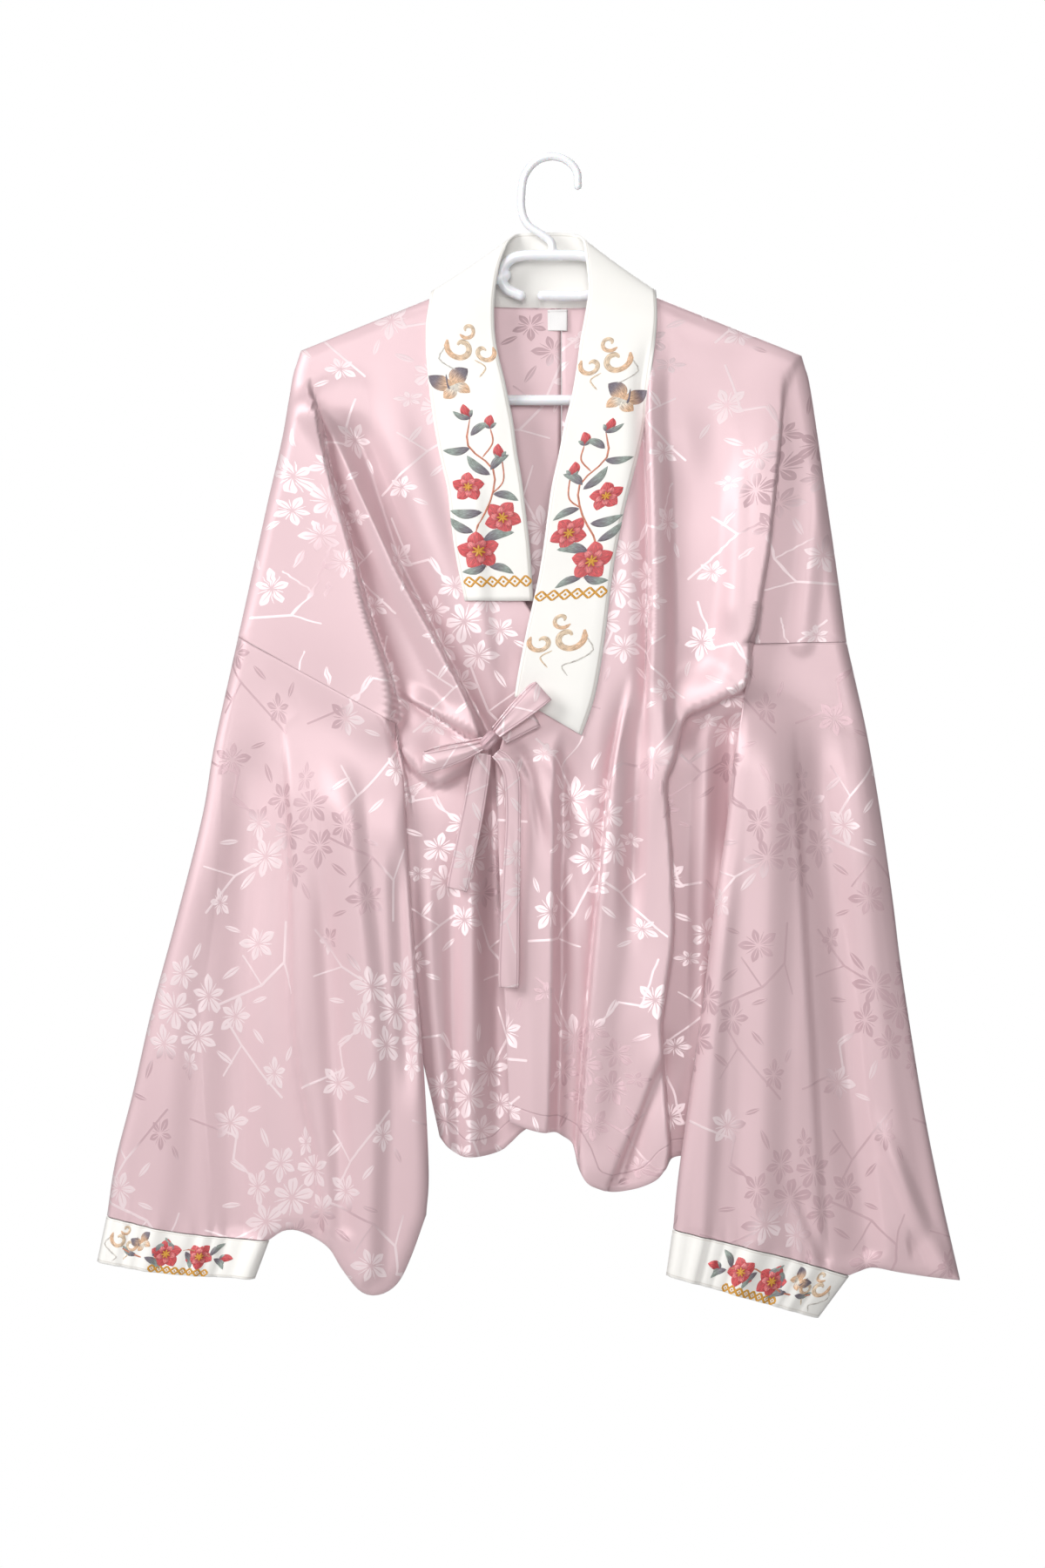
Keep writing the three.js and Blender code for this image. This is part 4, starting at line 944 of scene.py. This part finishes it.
def ribbon(name, path, node):
    """A ribbon along a path of places, each with its width and its direction across."""
    soft = eased(path, 8)
    wide, aside = soft[:, 3:4], soft[:, None, 4:7]
    t = np.linspace(-0.5, 0.5, 17)[None, :, None]
    at = soft[:, None, :3] + aside * wide[:, None] * t
    from_knot = np.linalg.norm(soft[:, :3] - np.array(KNOT["at"]), axis=1) - KNOT["across"]
    gathered, t = np.exp(-from_knot.clip(0)[:, None] / 13), t[..., 0]
    at[..., 1] -= (0.7 * np.cos(np.pi * t) + 0.8 * np.cos(4 * np.pi * t) * gathered +
                   0.3 * np.sin(7 * t + soft[:, 2:3] / 14))
    length = np.concatenate([[0], np.cumsum(np.linalg.norm(np.diff(soft[:, :3], axis=0), axis=1))])
    cut = np.stack([wide * t + 40, length[:, None] + 0 * t + 12], axis=-1) / 1000
    line = wide * (0.5 - np.abs(t)) - 1.6
    piece = sewn(name, [laid_out(at, cut, -1, line)], pink_satin, RIBBON_THICK)
    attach(piece, "root")
    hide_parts(node)
    return piece


for name, r in LOOPS.items():
    ribbon(f"{name}_ribbon", [(*place, *r["across"]) for place in r["path"]], name)
for name, rows in TAILS.items():
    path = []
    for k, row in enumerate(rows):
        a, b = rows[max(0, k - 1)], rows[min(len(rows) - 1, k + 1)]
        dx, dz = b[0] - a[0], b[2] - a[2]
        length = math.hypot(dx, dz)
        path.append((*row, -dz / length, 0, dx / length))
    ribbon(f"{name}_ribbon", path, name)

bm = bmesh.new()
bmesh.ops.create_uvsphere(bm, u_segments=48, v_segments=32, radius=1)
turn = math.radians(KNOT["turn"])
for v in bm.verts:
    a, b, c = v.co
    a = math.copysign(abs(a) ** 0.75, a)
    creased = 1 + 0.10 * math.cos(9 * b + 1.5 * a) * (1 - 0.4 * abs(a))
    along, across, deep = KNOT["along"] * a, KNOT["across"] * b * creased, KNOT["deep"] * c * creased
    moved = (along * math.cos(turn) - across * math.sin(turn), deep,
             along * math.sin(turn) + across * math.cos(turn))
    v.co = [(KNOT["at"][k] + moved[k]) / 1000 for k in range(3)]
knot_mesh = mesh_of(bm, "tie_knot_wrap")
knot_mesh.shade_smooth()
knot_mesh.materials.append(pink_satin)
knot = add_object("tie_knot_wrap", knot_mesh)
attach(knot, "root")
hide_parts("tie_knot")

# ------------------------------------------------------------------ embroidery
# Flowers, leaves, buds, scrolls and a small gold lattice worked by machine in satin stitch with
# a silky thread, on both front ends of the collar band and on the fronts of the cuffs.

PETAL_HIGH, LINE_HIGH = 0.55, 0.4  # how far the thread stands up at the middle of a stroke
THREAD = dict(coral=(0.77, 0.10, 0.11), rose=(0.86, 0.24, 0.24), wine=(0.50, 0.020, 0.035), gold=(0.78, 0.37, 0.02),
              ash=(0.19, 0.17, 0.21), sage=(0.33, 0.40, 0.36), stem=(0.68, 0.24, 0.14), peach=(0.87, 0.56, 0.35),
              cream=(0.87, 0.82, 0.72), sand=(0.84, 0.66, 0.47), pearl=(0.70, 0.67, 0.62))


def leaf_shape(t):
    return np.sin(np.pi * np.clip(t, 0, 1) ** 0.9) ** 0.8


def line_shape(t):
    return np.minimum(1, 6 * np.minimum(t, 1 - t) + 0.35)


def stroke(path, half, shape="petal", root="ash", tip="sage", lift=0.0):
    return dict(path=path, half=half, shape=shape, root=root, tip=tip, lift=lift)


def around(x, y, size, turn):
    """Gives places by how far they lie along a direction from a middle and beside it, as shares of a size."""
    c, d = math.cos(turn), math.sin(turn)
    return lambda along, left=0.0: (x + size * (along * c - left * d), y + size * (along * d + left * c))


def flower(x, y, size, turn):
    """Five full petals with darker ones inside and gold stamens."""
    strokes = []
    for ring, reach, wide, tip in ((0, 1.0, 0.40, "coral"), (1, 0.62, 0.24, "rose")):
        for k in range(5):
            at = around(x, y, size, turn + math.tau * (k + 0.5 * ring) / 5)
            path = [at(0.1), at(0.55 * reach, 0.06), at(reach)]
            strokes.append(stroke(path, wide * size, root="wine", tip=tip, lift=0.35 * ring))
    for k in range(7):
        at = around(x, y, size, turn + math.tau * k / 7 + 0.3)
        strokes.append(stroke([(x, y), at(0.3)], 0.055 * size, "line", "gold", "gold", 0.75))
    return strokes


def leaf(x, y, length, degrees, half=None, root="ash", tip="sage"):
    at = around(x, y, length, math.radians(degrees))
    return [stroke([(x, y), at(0.5, 0.1), at(1)], half or 0.17 * length, root=root, tip=tip)]


def bud(x, y, size, degrees):
    return (leaf(x, y, size, degrees, 0.3 * size, "wine", "coral") +
            leaf(x, y, 0.55 * size, degrees + 38, 0.14 * size) + leaf(x, y, 0.55 * size, degrees - 38, 0.14 * size))


def stem(points, half, thread="stem"):
    return [stroke(points, half, "line", thread, thread, -0.1)]


def scroll(x, y, size, turn, hand):
    """A cloud's curl: a line that winds inwards."""
    points = []
    for k in range(11):
        a, r = turn + hand * k * 0.62, size * (1 - 0.078 * k)
        points.append((x + r * math.cos(a), y + r * math.sin(a)))
    return [stroke(points, 0.16 * size + 0.35, "line", "peach", "sand")]


def cloud(x, y, size):
    """Three curls with two trailing lines."""
    def near(*points):
        return [(x + a * size, y + b * size) for a, b in points]
    (second,), (third,) = near((1.5, -0.35)), near((0.55, 1.15))
    return (scroll(x, y, size, 2.6, 1) + scroll(*second, 0.75 * size, 0.5, -1) + scroll(*third, 0.6 * size, 3.6, 1) +
            stem(near((-1, 0.1), (-1.5, -0.8), (-0.7, -1.5), (0.1, -1.9), (-0.3, -2.5)), 0.6, "pearl") +
            stem(near((0.8, -0.9), (1.4, -1.4), (0.9, -2.1)), 0.6, "sand"))


def moth(x, y, size, turn):
    strokes = []
    for share, way, half, root, tip in ((1, 35, 0.34, "peach", "ash"), (1, 145, 0.34, "peach", "ash"),
                                        (0.7, -40, 0.26, "cream", "peach"), (0.7, 220, 0.26, "cream", "peach")):
        strokes += leaf(x, y, share * size, turn + way, half * size, root, tip)
    return strokes + leaf(x - 0.02 * size, y - 0.45 * size, 0.95 * size, turn + 90, 0.07 * size, "ash", "ash")


def lattice(x, y, wide, count):
    """A chain of small gold diamonds."""
    strokes, corners = [], [(-0.5, 0), (0, 0.5), (0.5, 0), (0, -0.5), (-0.5, 0)]
    for k in range(count):
        at = around(x + k * wide, y, wide, 0)
        strokes += [stroke([at(*a), at(*b)], 0.85, "line", "gold", "gold") for a, b in zip(corners, corners[1:])]
        strokes.append(stroke([at(-0.12), at(0.12)], 0.12 * wide, root="gold", tip="gold", lift=0.1))
    return strokes


def worked(x, y, stems, leaves, flowers, buds):
    """A spray from the rows of its stems, leaves, flowers and buds, measured from one place."""
    strokes = []
    for half, line in stems:
        strokes += stem([(x + a, y + b) for a, b in line], half)
    for kind, rows in ((leaf, leaves), (flower, flowers), (bud, buds)):
        for a, b, size, way in rows:
            strokes += kind(x + a, y + b, size, way)
    return strokes


def spray_of_three(x, y):
    """The main spray: three flowers on a winding stem, with a moth over it and gold lattice under it."""
    return worked(
        x, y,
        stems=[(0.75, [(22, 6), (16, 32), (31, 60), (37, 86), (22, 108), (27, 132)]),
               (0.6, [(33, 66), (43, 76), (45, 94)]), (0.6, [(31, 97), (40, 108), (40, 120)])],
        leaves=[(22, 28, 25, 12), (16, 36, 22, 140), (24, 52, 24, 170), (34, 66, 20, -22), (34, 82, 23, 128),
                (35, 86, 19, 35), (23, 106, 20, 178), (25, 116, 18, 30), (22, 8, 20, 195), (24, 7, 20, -20),
                (27, 130, 14, 150)],
        flowers=[(18, 20, 16.5, 0.3), (39, 46, 14.5, 0.9), (16, 74, 12.5, 0.1)],
        buds=[(45, 94, 13, 95), (40, 120, 12, 80), (27, 131, 12, 108)],
    ) + lattice(x + 7, y - 6, 9, 6) + moth(x + 18, y + 158, 19, 12)


def cloth_place(grid, across, thick):
    """Turns places in mm across and up a sheet into places on its face, by the lengths along its rows."""
    run = np.concatenate([[0], np.cumsum(np.linalg.norm(np.diff(grid[:, grid.shape[1] // 2], axis=0), axis=1))])
    du, dv = np.gradient(grid, axis=1), np.gradient(grid, axis=0)
    normal = np.cross(du, dv)
    normal /= np.linalg.norm(normal, axis=-1, keepdims=True)
    normal *= np.where(normal[..., 1:2].mean() > 0, -1, 1)

    def place(x, y, lift):
        r = np.interp(y, run, np.arange(len(run)))
        c = np.clip(x / across, 0, 1) * (grid.shape[1] - 1)
        r0, c0 = np.minimum(r.astype(int), grid.shape[0] - 2), np.minimum(c.astype(int), grid.shape[1] - 2)
        fr, fc = (r - r0)[..., None], (c - c0)[..., None]
        at, out = (mix(mix(a[r0, c0], a[r0, c0 + 1], fc), mix(a[r0 + 1, c0], a[r0 + 1, c0 + 1], fc), fr)
                   for a in (grid, normal))
        return at + out * (thick / 2 + lift)[..., None]
    return place


def embroidered(name, strokes, place):
    """One mesh of satin-stitched strokes laid on the cloth, each a low cushion of thread."""
    bm = bmesh.new()
    layer, colour = bm.loops.layers.uv.new("stitch"), bm.loops.layers.float_color.new("thread")
    for s in strokes:
        line = eased(s["path"], max(3, 12 // max(1, len(s["path"]) - 1)) if len(s["path"]) > 2 else 6)
        run = np.concatenate([[0], np.cumsum(np.linalg.norm(np.diff(line, axis=0), axis=1))])
        t = run / run[-1]
        way = np.gradient(line, axis=0)
        way /= np.linalg.norm(way, axis=1, keepdims=True)
        half = s["half"] * (leaf_shape(t) if s["shape"] == "petal" else line_shape(t))
        v = np.linspace(-1, 1, 6 if s["shape"] == "petal" else 4)
        x = line[:, 0:1] - way[:, 1:2] * half[:, None] * v
        y = line[:, 1:2] + way[:, 0:1] * half[:, None] * v
        full = (PETAL_HIGH if s["shape"] == "petal" else LINE_HIGH) * np.sqrt(1 - v ** 2)[None]
        cushion = 0.05 + s["lift"] + full * (0.4 + 0.6 * leaf_shape(t))[:, None]
        at = place(x, y, np.maximum(cushion, 0.03) + 0 * x) / 1000
        made = bmesh.ops.create_grid(bm, x_segments=len(v) - 1, y_segments=len(t) - 1, size=0.5)["verts"]
        root, tip = np.array(THREAD[s["root"]]), np.array(THREAD[s["tip"]])
        told = {}
        for vert in made:
            i, j = round((vert.co.x + 0.5) * (len(v) - 1)), round((vert.co.y + 0.5) * (len(t) - 1))
            vert.co = at[j, i]
            told[vert] = ((run[j] / 1000, v[i] * half[j] / 1000), (*mix(root, tip, smooth(0.15, 0.75, t[j])), 1))
        for face in {f for vert in made for f in vert.link_faces}:
            for corner in face.loops:
                corner[layer].uv, corner[colour] = told[corner.vert]
    bm.normal_update()
    bmesh.ops.reverse_faces(bm, faces=[f for f in bm.faces if f.normal.y > 0])
    mesh = mesh_of(bm, name)
    mesh.shade_smooth()
    mesh.materials.append(silk_thread)
    piece = add_object(name, mesh)
    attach(piece, "root")
    return piece


silk_thread, w, shader = new_material("silk embroidery thread")
stitch = w.node("ShaderNodeUVMap", uv_map="stitch")
strand = w.node("ShaderNodeTexNoise", w.vector("MULTIPLY", stitch, (260, 2600, 1)), None, 1.0, 1.0)
dyed = w.node("ShaderNodeAttribute", attribute_name="thread")
deeper = w.colour(0.55, dyed, (0.05, 0.01, 0.01, 1))
w.put(shader.inputs["Base Color"], w.colour(w.step(strand, 0.62, 0.35), dyed, deeper))
w.put(shader.inputs["Roughness"], w.math("MULTIPLY_ADD", strand, 0.2, 0.32))
relief_of(w, shader, 0.8, 0.0003, strand)
finish(shader, ("Sheen Weight", 0.2), ("Specular IOR Level", 0.6))

RIGHT_WORKED, LEFT_WORKED = 13, 24  # the rows of the band up to which and from which it is embroidered
BAND_WORKED = 57  # the width that the embroidery takes on the band

right_end = band_at[:RIGHT_WORKED * BAND_STEPS]
left_end = band_at[LEFT_WORKED * BAND_STEPS:][::-1]
embroidered("collar_embroidery_right", spray_of_three(0, 22) + cloud(28, 212, 12),
            cloth_place(right_end, BAND_WORKED, BAND_THICK))
embroidered("collar_embroidery_left", cloud(26, 66, 12.5) + spray_of_three(0, 108) + cloud(28, 300, 12),
            cloth_place(left_end, BAND_WORKED, BAND_THICK))


def cuff_spray(x, y):
    return worked(
        x, y,
        stems=[(0.6, [(6, 17), (40, 11), (70, 23), (98, 16)])],
        leaves=[(42, 14, 18, 48), (36, 12, 17, -28), (62, 20, 17, 140), (68, 21, 17, -62), (90, 19, 16, 50),
                (94, 17, 15, -40), (28, 12, 15, 160)],
        flowers=[(53, 17, 13, 0.4), (81, 18, 12, 1.0)], buds=[(99, 16, 12, 8)],
    ) + lattice(x + 44, y + 3.5, 6.5, 8) + cloud(x + 10, y + 22, 7.5) + moth(x + 31, y + 23, 11, 30)


for side in ("right", "left"):
    turned = np.transpose(cuff_grids[side][0], (1, 0, 2))  # its length runs along the sleeve's end
    strokes = [dict(row, path=[(q, p) for p, q in row["path"]]) for row in cuff_spray(9, 0)]
    embroidered(f"{side}_cuff_embroidery", strokes, cloth_place(turned[:, ::-1], CUFF_WIDE, CUFF_THICK))

# ------------------------------------------------------------------ hanger
# A white plastic hanger moulded in one piece: hook, tie loop, sloping arms and bar. Its round
# stock is 7 to 9 mm thick and runs into itself softly where two lines meet.

HANGER = dict(  # the radius of the round stock and the lines that it follows
    hook=(3.5, [(21.5, -21), (20.5, -9), (12.5, 0), (0, 3.5), (-13, -0.5), (-22, -11), (-25, -24), (-25, -41),
                (-20, -53), (-8, -61.5), (-0.5, -68), (0, -78)]),
    loop=(4.5, [(-8, -112), (28, -112), (39, -106), (42, -95.5), (37, -84), (25, -79), (0, -78.5), (-25, -79),
                (-37, -84), (-42, -95.5), (-38, -106), (-26, -112)]),
    arm_right=(4.5, [(-38, -95), (-47.5, -98.5), (-74, -110.5), (-98, -121), (-150, -142.2), (-190, -158.6),
                     (-200, -166), (-203, -177), (-201.5, -189), (-196, -196.5), (-186, -198.7)]),
    arm_left=(4.5, [(38, -96), (47.5, -99.5), (84, -120.8), (140, -143.2), (188, -162.2), (198, -169.5),
                    (201.5, -179), (200, -190), (195, -196.5), (185, -198.7)]),
    bar=(4.5, [(-190, -198.7), (-60, -198.7), (60, -198.7), (189, -198.7)]))

plastic, w, shader = new_material("white moulded plastic")
where = w.node("ShaderNodeTexCoord", out=3)
clouding = w.node("ShaderNodeTexNoise", where, None, 60.0, 2.0)
w.put(shader.inputs["Base Color"], w.colour(clouding, (0.84, 0.85, 0.885, 1), (0.90, 0.91, 0.935, 1)))
scuffing = w.node("ShaderNodeTexNoise", where, None, 140.0, 2.0)
w.put(shader.inputs["Roughness"], w.math("MULTIPLY_ADD", scuffing, 0.12, 0.2))
finish(shader, ("Subsurface Weight", 0.15), ("Subsurface Scale", 0.004))

bm = bmesh.new()
for radius, line in HANGER.values():
    bent = bpy.data.curves.new("rod", "CURVE")
    bent.dimensions, bent.bevel_depth, bent.bevel_resolution, bent.use_fill_caps = "3D", radius / 1000, 5, True
    spline = bent.splines.new("POLY")
    soft = eased(line, 7)
    spline.points.add(len(soft) - 1)
    for point, (x, z) in zip(spline.points, soft):
        point.co = (x / 1000, 0, z / 1000, 1)
    rod = add_object("rod", bent)
    bpy.context.view_layer.update()
    stock = bpy.data.meshes.new_from_object(rod.evaluated_get(bpy.context.evaluated_depsgraph_get()))
    bm.from_mesh(stock)
    bpy.data.objects.remove(rod)
    for x, z in (soft[0], soft[-1]):
        bmesh.ops.create_icosphere(bm, subdivisions=3, radius=radius / 1000,
                                   matrix=Matrix.Translation((x / 1000, 0, z / 1000)))
hanger_mesh = mesh_of(bm, "moulded_hanger")
hanger = add_object("moulded_hanger", hanger_mesh)
fused = hanger.modifiers.new("fused", "REMESH")
fused.mode, fused.voxel_size, fused.use_smooth_shade = "VOXEL", 0.0011, True
softened = hanger.modifiers.new("softened", "SMOOTH")
softened.factor, softened.iterations = 0.5, 4
bpy.context.view_layer.update()
moulded = bpy.data.meshes.new_from_object(hanger.evaluated_get(bpy.context.evaluated_depsgraph_get()))
hanger.modifiers.clear()
hanger.data = moulded
moulded.materials.clear()
moulded.materials.append(plastic)
moulded.shade_smooth()
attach(hanger, "root")
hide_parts("hanger_hook", "hanger_loop", "hanger_arm_right", "hanger_arm_left", "hanger_bar")

# ------------------------------------------------------------------ label
# A small woven tab, left bare. It is folded under at its sides and stitched into the neck seam
# along its top, so that it hangs free below.

LABEL = dict(at=(4.5, 9.0), top=-122.2, wide=17, high=17.6, turn=0.14)

label_cloth, w, shader = new_material("woven label")
on_tab = w.node("ShaderNodeUVMap", uv_map="cut")
ribs = w.node("ShaderNodeTexNoise", w.vector("MULTIPLY", on_tab, (900, 5200, 1)), None, 1.0, 1.0)
sewing = w.effect(stitch_group, 0.45, 0.2)
woven = w.colour(ribs, (0.80, 0.79, 0.78, 1), (0.92, 0.915, 0.91, 1))
w.put(shader.inputs["Base Color"], w.colour(w.math("MULTIPLY", sewing, 0.6), woven, (0.55, 0.50, 0.50, 1)))
w.put(shader.inputs["Roughness"], w.math("MULTIPLY_ADD", ribs, 0.15, 0.6))
relief_of(w, shader, 0.5, 0.0002, w.math("MULTIPLY_ADD", sewing, -1.5, ribs))

u, v = np.meshgrid(np.linspace(-0.5, 0.5, 19), np.linspace(0, 1, 21))
x, out = LABEL["wide"] * u, 1.1 * np.cos(np.pi * u) * v ** 2 - 0.5 * smooth(0.44, 0.5, np.abs(u))
cos, sin = math.cos(LABEL["turn"]), math.sin(LABEL["turn"])
x, out = x * cos + out * sin, out * cos + x * sin
down = LABEL["top"] - LABEL["high"] * v - 0.5 * u * v
tab_at = np.stack([LABEL["at"][0] + x, LABEL["at"][1] - out + 0.6, down], axis=-1)
from_side = np.abs(LABEL["wide"] * (0.5 - np.abs(u)) - 1.3) + 2 * smooth(0.2, 0.3, v)
tab_line = np.minimum(np.abs(LABEL["high"] * v - 1.6), from_side)
tab = sewn("neck_label", [laid_out(tab_at, cut_map(tab_at), -1, tab_line)], label_cloth, 0.7)
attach(tab, "root")
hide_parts("label")
